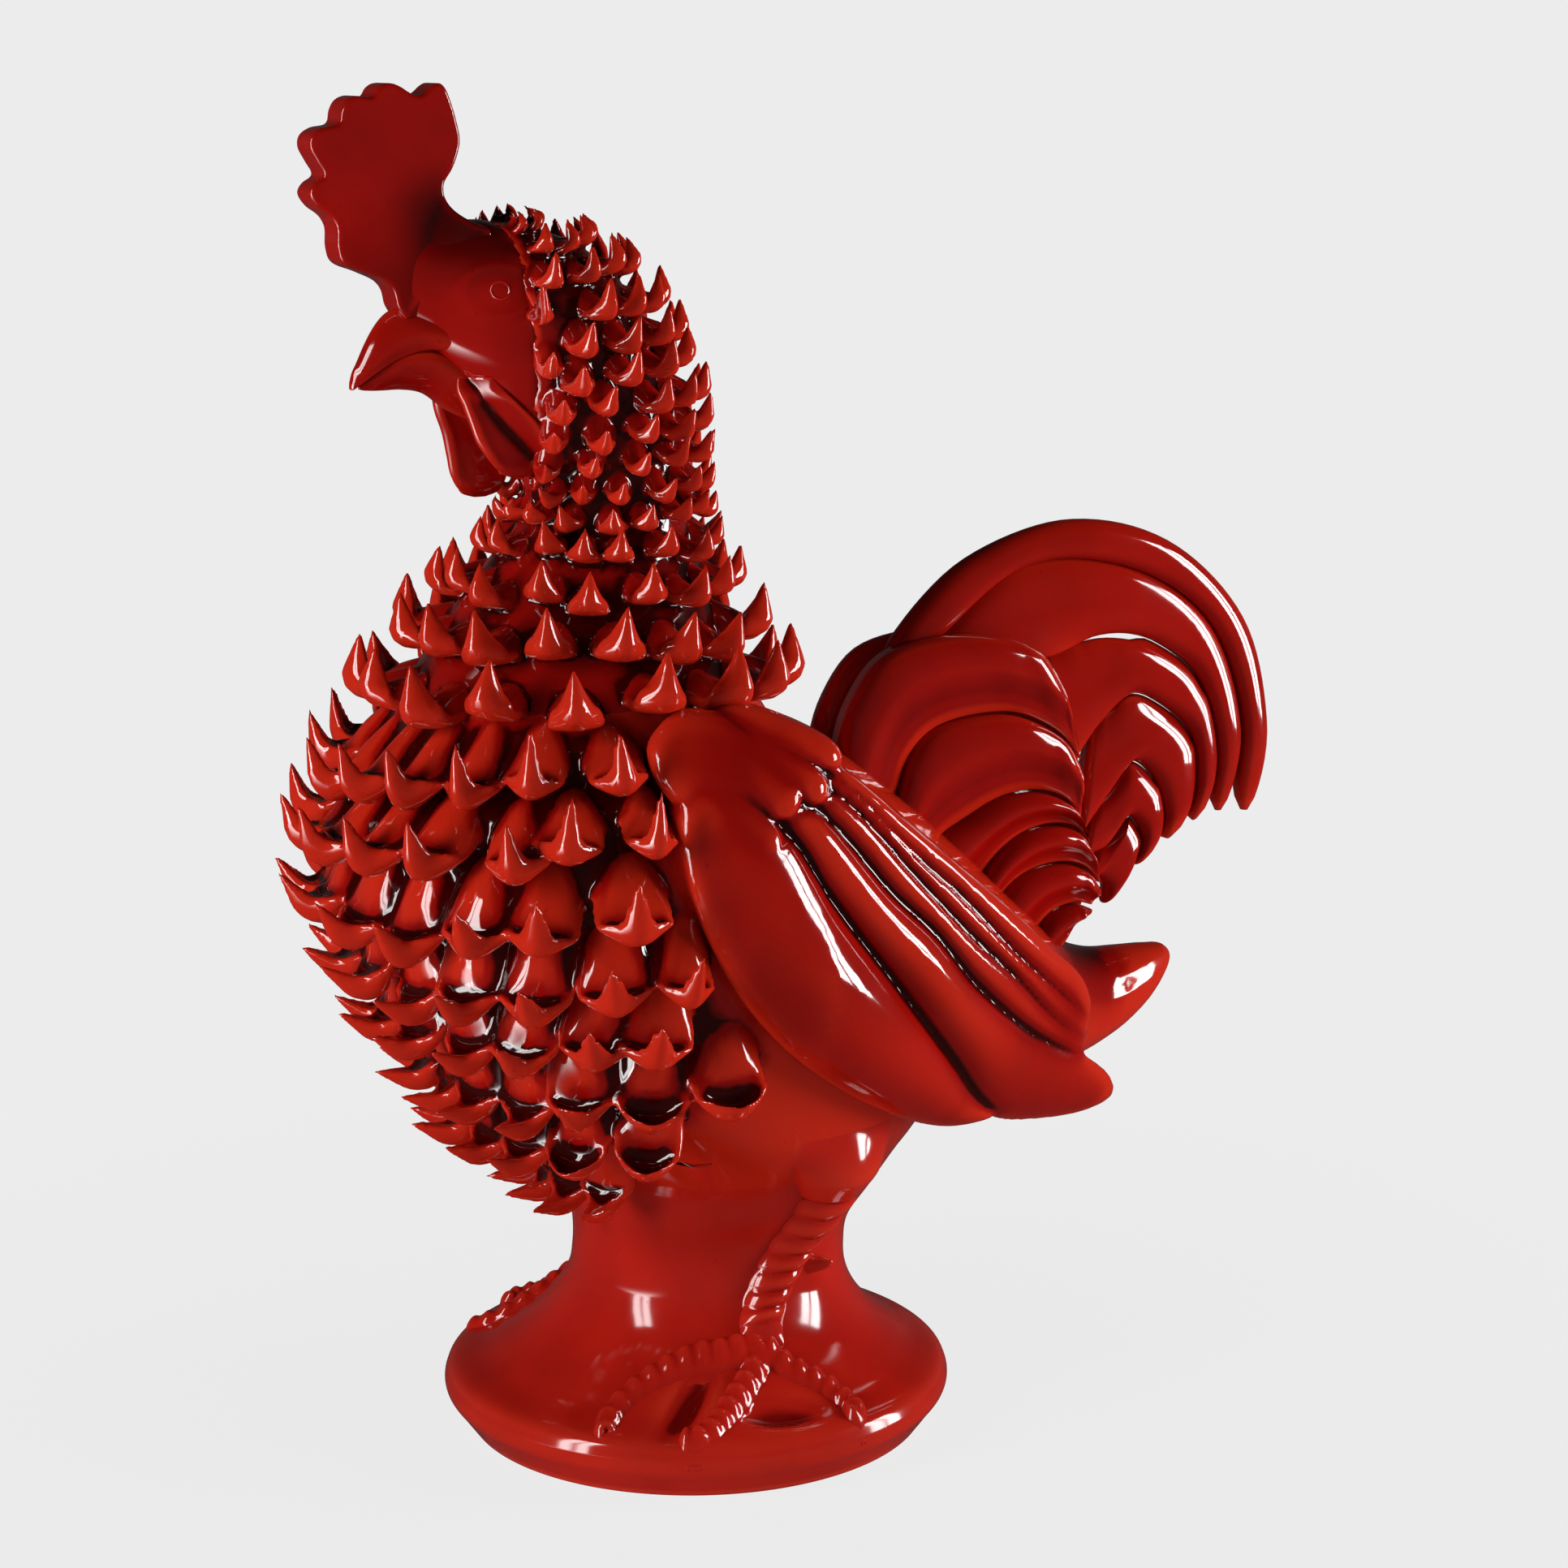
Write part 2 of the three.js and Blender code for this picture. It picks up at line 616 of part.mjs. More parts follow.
const covertEdges = [
  sampled([
    [48, 205], [47.5, 219], [52, 233], [64.5, 248], [91, 253], [110, 250.5], [125, 244],
    [130.5, 237.5]
  ], 8),
  sampled([
    [60, 188], [69.5, 202], [74, 213.5], [83.5, 222], [109.5, 225], [124, 220.5], [135, 213],
    [140, 206]
  ], 8),
  sampled([
    [74, 168], [85, 184.5], [95.5, 190.5], [110, 196.5], [124.5, 197], [136.5, 191.5],
    [140.5, 184.5]
  ], 8),
  sampled([
    [91, 153], [100, 167.5], [107.5, 176.5], [117.5, 183], [129.5, 185], [139, 182.5],
    [144.5, 176.5]
  ], 8),
  sampled([[102, 146.5], [111, 163.5], [120, 169.5], [134, 171.3], [143.5, 168], [149, 162]], 8),
  sampled([[115, 138], [124, 149], [130, 154.5], [139, 156.5], [146, 154.5]], 8),
  sampled([[121, 131], [128, 137], [134, 141], [138, 145.5], [141, 150.5]], 8),
];

function covert(outer, inner) {
  const floor = Math.max(tailCoreThickness, sickleThickness) / 2 + seam;
  const section = [[0, 0], [0.03, 0.7], [0.16, 1], [0.5, 0.62], [1, 0.42], [1, 0]];
  const rings = outer.map((_, i) => {
    const a = besideEdge(outer, i, seam / 2);
    const b = besideEdge(inner, i, -seam / 2);
    const tip = 1 - 0.35 * smooth(i / (outer.length - 1), 0.75, 1);
    return section.map(([across, rise]) => {
      const p = a.clone().lerp(b, across);
      return V(p.x, -(floor + covertRise * rise * tip), p.z);
    });
  });
  return skin(rings);
}

// Head pieces
function combOutline() {
  const front = [[-97, 362], [-100.5, 368], [-103, 373], [-115, 379.5], [-116.3, 389.5]];
  const teeth = [
    [-124, 399.5], [-119, 404.5], [-123.3, 413.5], [-120.5, 417.5], [-114.5, 418.8],
    [-113.6, 425.5], [-110, 427.5], [-104, 426.5], [-102, 430], [-99, 431.2],
    [-92.5, 427], [-88, 430.8], [-86, 431.4],
  ];
  const rear = [[-83, 425.5], [-80.5, 414.5], [-82.5, 405.5], [-85, 399.5], [-83, 394], [-77, 389.5]];
  const root = [[-73, 386], [-78, 376], [-90, 364]];
  const shape = new THREE.Shape();
  const edge = spline(planePoints([...front, ...teeth, ...rear])).getSpacedPoints(36);
  shape.moveTo(edge[0].x, edge[0].z);
  [...edge.slice(1), ...planePoints(root)].forEach((p) => shape.lineTo(p.x, p.z));
  return shape;
}

function comb() {
  const geometry = new THREE.ExtrudeGeometry(combOutline(), {
    depth: combThickness - combRound * 2,
    bevelEnabled: true,
    bevelThickness: combRound,
    bevelSize: combRound * 0.75,
    bevelOffset: -combRound * 0.75,
    bevelSegments: 1,
  });
  geometry.rotateX(Math.PI / 2);
  geometry.translate(0, combThickness / 2 - combRound, 0);
  return fromGeometry(geometry);
}

// A beak half from stations of height and width, closed at its tip
function beakHalf(levels, tip, grow, sides) {
  const rings = levels.map((s) =>
    Array.from({ length: sides }, (_, i) => {
      const a = (i * 2 * Math.PI) / sides;
      const middle = (onBird(s.top) + onBird(s.bottom)) / 2;
      const tall = (onBird(s.top) - onBird(s.bottom)) / 2 + grow;
      return V(s.x + s.lean * Math.cos(a), (s.half + grow) * Math.sin(a), middle + tall * Math.cos(a));
    }));
  return skin(rings, { endTip: tip.clone().add(V(-grow, 0, 0)) });
}

const mouthGap = 0.5;
const upperBeakLevels = [
  { x: -82, top: 366, bottom: 347.5, half: 16, lean: -4 },
  { x: -89, top: 366, bottom: 349.5, half: 14.5, lean: -4 },
  { x: -96, top: 364.5, bottom: 350, half: 11.5, lean: -4 },
  { x: -102, top: 360.5, bottom: 348.5, half: 8.5, lean: -2.5 },
  { x: -107, top: 355, bottom: 346, half: 6, lean: -1 },
  { x: -110.8, top: 349.5, bottom: 342.8, half: 3.4, lean: 0 },
];
const lowerBeakLevels = [
  { x: -76, top: 347, bottom: 331, half: 12.5, lean: 0 },
  { x: -83, top: 348.5, bottom: 334.5, half: 12, lean: 0 },
  { x: -90, top: 349, bottom: 339.5, half: 10, lean: 0 },
  { x: -97, top: 348.5, bottom: 341, half: 7, lean: 0 },
  { x: -103, top: 346, bottom: 341, half: 4.4, lean: 0 },
];

const upperBeakTip = V(-113.2, 0, onBird(342.5));
const lowerBeakTip = V(-109, 0, onBird(342.4));

function wattle(side, drop) {
  const rings = [];
  const steps = 9;
  for (let i = 0; i <= steps; i += 1) {
    const t = i / steps;
    const z = onBird(lerp(345, drop, t));
    const x = lerp(-77, -65, smooth(t, 0, 0.8));
    const fullness = Math.sqrt(Math.max(0.05, 1 - (1.72 * t - 0.9) ** 2));
    const half = lerp(5, 11.5, smooth(t, 0, 0.7)) * fullness;
    const thick = 4.2 * Math.sqrt(Math.max(0.1, 1 - t ** 4));
    const y = side * (9 + 4 * t);
    rings.push([0, 60, 120, 180, 240, 300].map((deg) =>
      V(x + half * Math.cos(rad(deg)), y + thick * Math.sin(rad(deg)), z)));
  }
  return skin(rings);
}

// The eye is a raised ring round a dimple, set inside almond lids
const eyeX = -73;
const eyeZ = onBird(371);

function eyeSeat() {
  const level = levelAt(eyeZ);
  const turn = THREE.MathUtils.radToDeg(Math.acos(clamp((level.x - eyeX) / level.front, -1, 1)));
  return skinFrame(turn, eyeZ);
}

function leftEye() {
  const profile = [
    [0, -6], [eyeRadius, -6], [eyeRadius, 0.2], [eyeRadius * 0.72, 0.9], [eyeRadius * 0.6, 1.8],
    [eyeRadius * 0.42, 1.8], [eyeRadius * 0.3, 0.9], [0, 0.9],
  ].map(([r, h]) => new THREE.Vector2(r, h));
  const geometry = new THREE.LatheGeometry(profile, 12);
  const { point, out } = eyeSeat();
  geometry.applyQuaternion(new THREE.Quaternion().setFromUnitVectors(V(0, 1, 0), out));
  geometry.translate(point.x, point.y, point.z);
  return fromGeometry(geometry);
}

function leftEyelid() {
  const { point, out, side } = eyeSeat();
  const up = V(0, 0, 0).crossVectors(side, out).normalize();
  const loops = [];
  const around = 12;
  const rings = [];
  for (let i = 0; i < around; i += 1) {
    const a = (i * 2 * Math.PI) / around;
    const middle = point.clone()
      .addScaledVector(side, 9.6 * Math.cos(a))
      .addScaledVector(up, 6.4 * Math.sin(a) * Math.abs(Math.sin(a)) ** 0.2);
    const away = side.clone().multiplyScalar(Math.cos(a)).addScaledVector(up, Math.sin(a));
    rings.push([0, 90, 180, 270].map((deg) => middle.clone()
      .addScaledVector(away, eyelidRound * Math.cos(rad(deg)))
      .addScaledVector(out, (deg === 270 ? -5 : eyelidRound) * Math.abs(Math.sin(rad(deg))))));
  }
  const n = 4;
  rings.forEach((_, i) => {
    const next = (i + 1) % around;
    for (let j = 0; j < n; j += 1) {
      const k = (j + 1) % n;
      loops.push([i * n + j, i * n + k, next * n + k], [i * n + j, next * n + k, next * n + j]);
    }
  });
  return solidFrom(rings.flat(), loops);
}

// Legs and feet stand in relief on the pedestal
const ankleZ = onBird(43);
const kneeZ = onBird(86);
const hipZ = onBird(112);

function legRing(z, width, rise, grow) {
  const turn = lerp(85, 106, smooth(z, ankleZ - 4, kneeZ));
  const { point, side, out } = skinFrame(turn, z);
  const arc = [0, 50, 90, 130, 180].map((deg) => point.clone()
    .addScaledVector(side, (width / 2 + grow) * Math.cos(rad(deg)))
    .addScaledVector(out, (rise + grow) * Math.sin(rad(deg)) ** 0.8));
  const buried = [1, -1].map((way) => point.clone()
    .addScaledVector(side, (-way * width) / 2)
    .addScaledVector(out, -5));
  return [...arc, ...buried];
}

function leftLeg(grow = 0) {
  const rings = [];
  const pitch = (kneeZ - ankleZ) / scuteCount;
  for (let i = 0; i < scuteCount; i += 1) {
    const width = lerp(12, 24, i / (scuteCount - 1));
    rings.push(legRing(ankleZ + (i + 0.05) * pitch, width * 0.88, legRise * 0.78, grow));
    rings.push(legRing(ankleZ + (i + 0.4) * pitch, width, legRise, grow));
  }
  rings.push(legRing(kneeZ + 2, 27, legRise * 0.9, grow));
  rings.push(legRing(kneeZ + 10, 33, legRise * 1.3, grow));
  rings.push(legRing(kneeZ + 18, 36, legRise * 1.4, grow));
  rings.push(legRing(hipZ, 30, legRise * 0.7, grow));
  return skin(rings);
}

// The height of the pedestal's skin over a point of the plan, between its rim and its waist
function pedestalHeight(x, y) {
  let low = rimHeight;
  let high = waistHeight;
  for (let i = 0; i < 40; i += 1) {
    const z = (low + high) / 2;
    const s = levelAt(z);
    if (Math.hypot((x - s.x) / s.front, y / s.half) < 1) low = z;
    else high = z;
  }
  return (low + high) / 2;
}

function toe(plan) {
  const seats = plan.map(([x, y]) => {
    const r = Math.hypot(x, y);
    const k = Math.min(1, (footRadius - 4) / r);
    return V(x * k, y * k, pedestalHeight(x * k, y * k) + 0.8);
  });
  const path = spline(seats);
  const rings = [];
  const steps = toeRibs * 2;
  for (let i = 0; i <= steps; i += 1) {
    const u = i / steps;
    const p = path.getPointAt(u);
    const along = path.getTangentAt(u);
    const side = V(0, 0, 0).crossVectors(along, V(0, 0, 1)).normalize();
    const up = V(0, 0, 0).crossVectors(side, along).normalize();
    const rib = i % 2 === 0 ? 0.82 : 1.06;
    const r = toeRadius * rib * (u > 0.85 ? 1 - 2.6 * (u - 0.85) : 1);
    rings.push([0, 60, 120, 180, 270].map((deg) => p.clone()
      .addScaledVector(side, r * Math.cos(rad(deg)))
      .addScaledVector(up, r * Math.sin(rad(deg)))));
  }
  return skin(rings);
}

function leftFoot() {
  const hub = [-2, -52];
  const front = [hub, [-14, -50.5], [-28, -46], [-42, -44], [-53, -46.5], [-60, -54]];
  const middle = [hub, [-7, -56], [-19, -63], [-30, -69], [-42, -71]];
  const outer = [hub, [4, -58], [14, -64.5], [19, -73], [15, -80]];
  return joined([toe(front), toe(middle), toe(outer)]);
}

function leftSpur() {
  const { point, side, out } = skinFrame(110, (ankleZ + kneeZ) / 2 - 6);
  const root = point.clone().addScaledVector(out, -3);
  const tip = point.clone().addScaledVector(out, spurLength * 0.75).addScaledVector(side, spurLength * 0.6);
  const along = tip.clone().sub(root).normalize();
  const across = V(0, 0, 0).crossVectors(along, V(0, 0, 1)).normalize();
  const up = V(0, 0, 0).crossVectors(across, along);
  const rings = [0, 0.45, 0.8].map((t) => [0, 60, 120, 180, 240, 300].map((deg) => root.clone().lerp(tip, t)
    .addScaledVector(across, 3.4 * (1 - t * 0.75) * Math.cos(rad(deg)))
    .addScaledVector(up, 3.4 * (1 - t * 0.75) * Math.sin(rad(deg)))));
  return skin(rings, { endTip: tip });
}

// Shallow ovals pressed into the foot between the toes
function toeRecess(x, y, long, wide, turnDeg) {
  const geometry = new THREE.SphereGeometry(1, 8, 4);
  geometry.rotateX(Math.PI / 2);
  geometry.scale(long, wide, recessDepth * 2);
  geometry.rotateZ(rad(turnDeg));
  const slope = pedestalHeight(x, y) - pedestalHeight(x * 1.08, y * 1.08);
  const outward = Math.hypot(x, y) * 0.08;
  const axis = V(-y, x, 0).normalize();
  geometry.applyQuaternion(new THREE.Quaternion().setFromAxisAngle(axis, Math.atan2(slope, outward)));
  geometry.translate(x, y, pedestalHeight(x, y) + recessDepth);
  return fromGeometry(geometry);
}

// Assembly
const baseRoom = trunk(0, bodySeamHeight + 2, seam, baseTurns);
const bareSkin = () => null;
const breastLevels = steppedLevels(neckSeamHeight - seam / 2, breastHem - 4, breastRows);
const bodyLevels = [...breastLevels, bodySeamHeight + seam / 2];
const bodyRoom = coatedTrunk(bodyLevels, breastColumns, bareSkin, seam).add(back(seam, 16));
const backRoom = back(seam * 1.2, 16);
const napeLevels = [crownHeight, crownHeight - 1.5, crownHeight - 5];
const fineLevels = steppedLevels(crownHeight - 10.5, throatHeight - 5, hackleRows - 3);
const neckBaseLevels = [287.5, 276, 262].map(onBird);
const neckLevels = [...napeLevels, ...fineLevels, ...neckBaseLevels, neckSeamHeight + seam / 2];
const neckRoom = coatedTrunk(neckLevels, hackleColumns, bareSkin, seam * 2);
const headRoom = trunk(throatHeight, crownHeight + seam, seam, headTurns).add(neckRoom);
const trunkCavity = trunk(floorThickness, crownHeight - wall, -wall, 8);
const bodyTall = neckSeamHeight - bodySeamHeight;
const bodyBlock = placedBox(blockSize, blockSize, bodyTall - seam, 0, 0, bodySeamHeight + bodyTall / 2);
const rumpBlock = placedBox(blockSize, blockSize, blockSize, solidRumpFrom + blockSize / 2, 0, 0);
const backCavity = back(-wall, 12).subtract(rumpBlock);

const leftWingSolid = leftWing().subtract(bodyRoom);

const vent = fromGeometry(new THREE.CylinderGeometry(ventRadius, ventRadius, floorThickness * 3, 16)
  .rotateX(Math.PI / 2).translate(ventOffset, 0, 0));
const recesses = joined([toeRecess(-31, -57, 17, 6, 32), toeRecess(-6, -70, 17, 6.5, -12)]);
const pedestalBase = trunk(0, bodySeamHeight - seam / 2, 0, baseTurns)
  .subtract(trunkCavity)
  .subtract(vent)
  .subtract(recesses)
  .subtract(mirrored(recesses));

const bodyShell = coatedTrunk(bodyLevels, breastColumns, breastFeather)
  .add(back(0, 16).intersect(bodyBlock))
  .subtract(trunkCavity)
  .subtract(backCavity.intersect(bodyBlock));

const neckShell = coatedTrunk(neckLevels, hackleColumns, hackle)
  .intersect(behindFace(seam / 2))
  .subtract(trunkCavity);
const eyelid = leftEyelid();
const head = trunk(throatHeight, crownHeight, 0, headTurns)
  .add(eyelid)
  .add(mirrored(eyelid))
  .subtract(behindFace(-seam / 2))
  .subtract(trunkCavity);

const upperBeak = beakHalf(upperBeakLevels, upperBeakTip, 0, 10);
const upperBeakRoom = beakHalf(upperBeakLevels, upperBeakTip, mouthGap, 10);
const lowerBeak = beakHalf(lowerBeakLevels, lowerBeakTip, 0, 8);
const lowerBeakRoom = beakHalf(lowerBeakLevels, lowerBeakTip, seam, 8);
const leftEyeSolid = leftEye().subtract(headRoom);

const core = plate(coreOutline, tailCoreThickness).subtract(backRoom);
const coreRoom = plate(grownLoop(coreOutline, seam), tailCoreThickness + 2 * seam);
const sickleSolids = sickles().map((solid) => solid.subtract(coreRoom).subtract(backRoom));
const coverts = covertEdges.slice(0, -1)
  .map((edge, i) => covert(edge, covertEdges[i + 1]).subtract(backRoom));

const legSolid = leftLeg().subtract(baseRoom).subtract(bodyRoom);
const legRoom = leftLeg(seam);
const footSolid = leftFoot().subtract(baseRoom).subtract(legRoom);
const spurSolid = leftSpur().subtract(legRoom).subtract(baseRoom);

const rooster = new THREE.Group();
const add = (name, solid, color) => rooster.add(toMesh(name, solid, color));
add('pedestal_base', pedestalBase, footRed);
add('body_shell', bodyShell);
add('neck_shell', neckShell);
add('head_shell', head);
add('comb', comb().subtract(headRoom).subtract(upperBeakRoom));
add('upper_beak', upperBeak.subtract(headRoom));
add('lower_beak', lowerBeak.subtract(headRoom).subtract(upperBeakRoom));
add('left_wattle', wattle(-1, leftWattleDrop).subtract(headRoom).subtract(lowerBeakRoom));
add('right_wattle', wattle(1, rightWattleDrop).subtract(headRoom).subtract(lowerBeakRoom));
add('left_eye', leftEyeSolid);
add('right_eye', mirrored(leftEyeSolid));
add('left_wing', leftWingSolid);
add('right_wing', mirrored(leftWingSolid));
add('tail_core', core);
sickleSolids.forEach((solid, i) => add(`sickle_feather_${i + 1}`, solid));
coverts.forEach((solid, i) => {
  add(`left_tail_covert_${i + 1}`, solid);
  add(`right_tail_covert_${i + 1}`, mirrored(solid));
});
add('left_leg', legSolid);
add('right_leg', mirrored(legSolid));
add('left_foot', footSolid);
add('right_foot', mirrored(footSolid));
add('left_spur', spurSolid);
add('right_spur', mirrored(spurSolid));

export default rooster;
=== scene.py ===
"""Looks, light and camera for a red glazed ceramic rooster on a flared round pedestal.

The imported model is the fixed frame: every piece here stands for one of its nodes and keeps that
node's place. Classes hold their sizes in millimetres, and the benches that make a mesh turn them
into metres. The head looks along -X, the bird's left side faces -Y and the foot rests on Z = 0.
"""

import sys

import logging
import math
from collections.abc import Callable
from dataclasses import dataclass
from enum import Enum

import bmesh
import bpy
import numpy as np
from bpy.types import Material, Mesh, Node, NodeSocket, Object, World
from mathutils import Matrix, Vector

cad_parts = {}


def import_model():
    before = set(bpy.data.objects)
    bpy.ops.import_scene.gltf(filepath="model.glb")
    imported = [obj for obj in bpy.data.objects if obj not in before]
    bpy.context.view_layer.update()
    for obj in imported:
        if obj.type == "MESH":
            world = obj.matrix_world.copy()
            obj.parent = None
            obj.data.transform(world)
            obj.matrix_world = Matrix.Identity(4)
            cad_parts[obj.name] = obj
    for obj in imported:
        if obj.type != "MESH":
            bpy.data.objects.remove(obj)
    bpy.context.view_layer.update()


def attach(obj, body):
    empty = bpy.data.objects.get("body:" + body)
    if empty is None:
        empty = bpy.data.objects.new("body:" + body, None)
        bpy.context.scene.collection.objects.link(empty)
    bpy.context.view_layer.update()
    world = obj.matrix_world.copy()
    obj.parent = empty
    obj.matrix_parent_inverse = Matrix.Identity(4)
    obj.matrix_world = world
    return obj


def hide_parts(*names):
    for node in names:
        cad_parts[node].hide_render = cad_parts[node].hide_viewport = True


log = logging.getLogger("ceramic rooster")

MM = 0.001
Array = np.ndarray


class Side(Enum):
    """The two flanks of the bird, by the sign of Y."""

    LEFT = -1
    RIGHT = 1


class Slot(Enum):
    """The record's finishes."""

    RED = "red_glaze"
    PEDESTAL = "pedestal_glaze"


# ---------------------------------------------------------------------------------------------
# Curves
# ---------------------------------------------------------------------------------------------


def hermite(knots: Array, values: Array, at: Array) -> Array:
    """Reads a smooth curve that passes through the values at its knots.

    Args:
        knots: rising places of the values.
        values: one row for each knot.
        at: places to read, held inside the knots' range.

    Returns:
        One row for each place.
    """
    knots, values = np.asarray(knots, float), np.asarray(values, float)
    steps = np.diff(knots)
    rates = np.diff(values, axis=0) / steps[:, None]
    slopes = np.empty_like(values)
    slopes[0], slopes[-1] = rates[0], rates[-1]
    inner = rates[:-1] * steps[1:, None] + rates[1:] * steps[:-1, None]
    slopes[1:-1] = inner / (steps[1:] + steps[:-1])[:, None]
    at = np.clip(np.atleast_1d(np.asarray(at, float)), knots[0], knots[-1])
    i = np.clip(np.searchsorted(knots, at) - 1, 0, len(knots) - 2)
    h = steps[i][:, None]
    t = ((at - knots[i]) / steps[i])[:, None]
    near = (2 * t**3 - 3 * t**2 + 1) * values[i] + (t**3 - 2 * t**2 + t) * h * slopes[i]
    far = (3 * t**2 - 2 * t**3) * values[i + 1] + (t**3 - t**2) * h * slopes[i + 1]
    return near + far


def even_curve(points: list, count: int) -> Array:
    """Samples a smooth curve through points at even distances.

    Args:
        points: the points that it passes through.
        count: how many samples to give.

    Returns:
        The samples, one row each.
    """
    points = np.asarray(points, float)
    chords = np.sqrt(np.linalg.norm(np.diff(points, axis=0), axis=1))
    knots = np.concatenate([[0.0], np.cumsum(chords)])
    fine = hermite(knots, points, np.linspace(0, knots[-1], 600))
    run = np.concatenate([[0.0], np.cumsum(np.linalg.norm(np.diff(fine, axis=0), axis=1))])
    places = np.linspace(0, run[-1], count)
    return np.column_stack([np.interp(places, run, fine[:, k]) for k in range(points.shape[1])])


def ease(value: Array | float, low: float, high: float) -> Array:
    """Gives 0 below low, 1 above high and a smooth rise between them."""
    t = np.clip((np.asarray(value, float) - low) / (high - low), 0, 1)
    return t * t * (3 - 2 * t)


def unit(vector: Array) -> Array:
    """Scales vectors, one for each row, to length 1."""
    return vector / np.maximum(np.linalg.norm(vector, axis=-1, keepdims=True), 1e-12)


def circle(count: int) -> tuple[Array, Array]:
    """Gives the cosines and the sines of even steps round a circle."""
    angle = np.arange(count) * 2 * np.pi / count
    return np.cos(angle), np.sin(angle)


def fuller(values: Array, power: float) -> Array:
    """Raises values to a power and keeps their signs, which fills out a round section."""
    return np.sign(values) * np.abs(values) ** power


def round_end(past: float, least: float = 0.02) -> float:
    """Gives a form's size near its rounded end, where past goes from 0 to 1 over the end."""
    return math.sqrt(max(least, 1 - max(0.0, past) ** 2))


def upright(line: Array, y: Array | float) -> Array:
    """Stands a line of X and Z up as points at the depth Y."""
    return np.column_stack([line[:, 0], np.broadcast_to(y, len(line)), line[:, 1]])


def stagger(row: int, column: int, columns: int) -> float:
    """Gives a feather's turn in its row, in degrees from the breast; odd rows start half a feather on."""
    return ((column + 0.5 * (row % 2) + 0.5) * 360 / columns + 180) % 360 - 180


# ---------------------------------------------------------------------------------------------
# Benches: the few ways in which every mesh here is made
# ---------------------------------------------------------------------------------------------


def deselect() -> None:
    """Leaves object mode clean, with nothing selected."""
    if bpy.context.object and bpy.context.object.mode != "OBJECT":
        bpy.ops.object.mode_set(mode="OBJECT")
    bpy.ops.object.select_all(action="DESELECT")


def pick(obj: Object) -> None:
    """Selects one object alone and makes it the active one.

    Args:
        obj: the object.
    """
    deselect()
    obj.select_set(True)
    bpy.context.view_layer.objects.active = obj


def loft(name: str, rings: Array) -> Object:
    """Draws a disc out ring by ring in edit mode, as a closed form.

    Args:
        name: the new object's name.
        rings: millimetres, as rings x points x 3, each ring in the same order.

    Returns:
        The object, with its normals turned outwards.
    """
    rings = np.asarray(rings, float) * MM
    deselect()
    bpy.ops.mesh.primitive_circle_add(vertices=rings.shape[1], radius=1.0, fill_type="NGON")
    obj = bpy.context.object
    obj.name = obj.data.name = name
    bpy.ops.object.mode_set(mode="EDIT")
    shell = bmesh.from_edit_mesh(obj.data)
    place = shell.verts.layers.int.new("place")
    for number, vertex in enumerate(shell.verts):
        vertex[place] = number
        vertex.co = rings[0][number]
    bpy.ops.mesh.select_all(action="SELECT")
    for ring in rings[1:]:
        bpy.ops.mesh.extrude_region_move()
        shell = bmesh.from_edit_mesh(obj.data)
        place = shell.verts.layers.int["place"]
        for vertex in shell.verts:
            if vertex.select:
                vertex.co = ring[vertex[place]]
    bmesh.update_edit_mesh(obj.data)
    bpy.ops.mesh.select_all(action="SELECT")
    bpy.ops.mesh.normals_make_consistent(inside=False)
    bpy.ops.object.mode_set(mode="OBJECT")
    obj.data.attributes.remove(obj.data.attributes["place"])
    return obj


def copy_of(obj: Object, name: str, matrix: Matrix) -> Object:
    """Copies an object with a mesh of its own and sets the mesh at a place.

    Args:
        obj: the object to copy.
        name: the copy's name.
        matrix: where the mesh goes, in metres.

    Returns:
        The copy, whose normals point outwards also where the matrix mirrors it.
    """
    made = obj.copy()
    made.data = obj.data.copy()
    made.name = made.data.name = name
    made.data.transform(matrix)
    if matrix.determinant() < 0:
        made.data.flip_normals()
    bpy.context.scene.collection.objects.link(made)
    return made


def mirrored(obj: Object, name: str) -> Object:
    """Copies an object to the bird's other flank."""
    return copy_of(obj, name, Matrix.Scale(-1, 4, Vector((0, 1, 0))))


def joined(name: str, objects: list) -> Object:
    """Joins objects into the first of them.

    Args:
        name: the name that the first one takes.
        objects: all that are joined.

    Returns:
        The first object, with all meshes in it.
    """
    deselect()
    for obj in objects:
        obj.select_set(True)
    bpy.context.view_layer.objects.active = objects[0]
    bpy.ops.object.join()
    objects[0].name = objects[0].data.name = name
    return objects[0]


def apply_modifier(obj: Object, kind: str, **settings: object) -> None:
    """Adds one modifier and applies it at once.

    Args:
        obj: the object that it changes.
        kind: the modifier's type.
        **settings: its settings by name.
    """
    pick(obj)
    modifier = obj.modifiers.new(kind.lower(), kind)
    for key, value in settings.items():
        setattr(modifier, key, value)
    bpy.ops.object.modifier_apply(modifier=modifier.name)


@dataclass(frozen=True)
class Clay:
    """How the parts of a piece run into one skin.

    Attributes:
        grain: the remesh's cell in millimetres.
        passes: how often the skin is smoothed.
        reach: how far glaze looks for hollows on it, in passes of smoothing.
    """

    grain: float
    passes: int
    reach: int = 24


def fuse(obj: Object, clay: Clay, ceiling: int = 190000) -> None:
    """Runs clay parts into one skin with soft fillets, as thick glaze leaves them.

    Args:
        obj: closed forms that overlap, joined in one object.
        clay: how the parts run together.
        ceiling: the most triangles that are kept.
    """
    apply_modifier(obj, "REMESH", mode="VOXEL", voxel_size=clay.grain * MM)
    apply_modifier(obj, "SMOOTH", factor=0.5, iterations=clay.passes)
    faces = 2 * len(obj.data.polygons)
    if faces > ceiling:
        apply_modifier(obj, "DECIMATE", ratio=ceiling / faces)


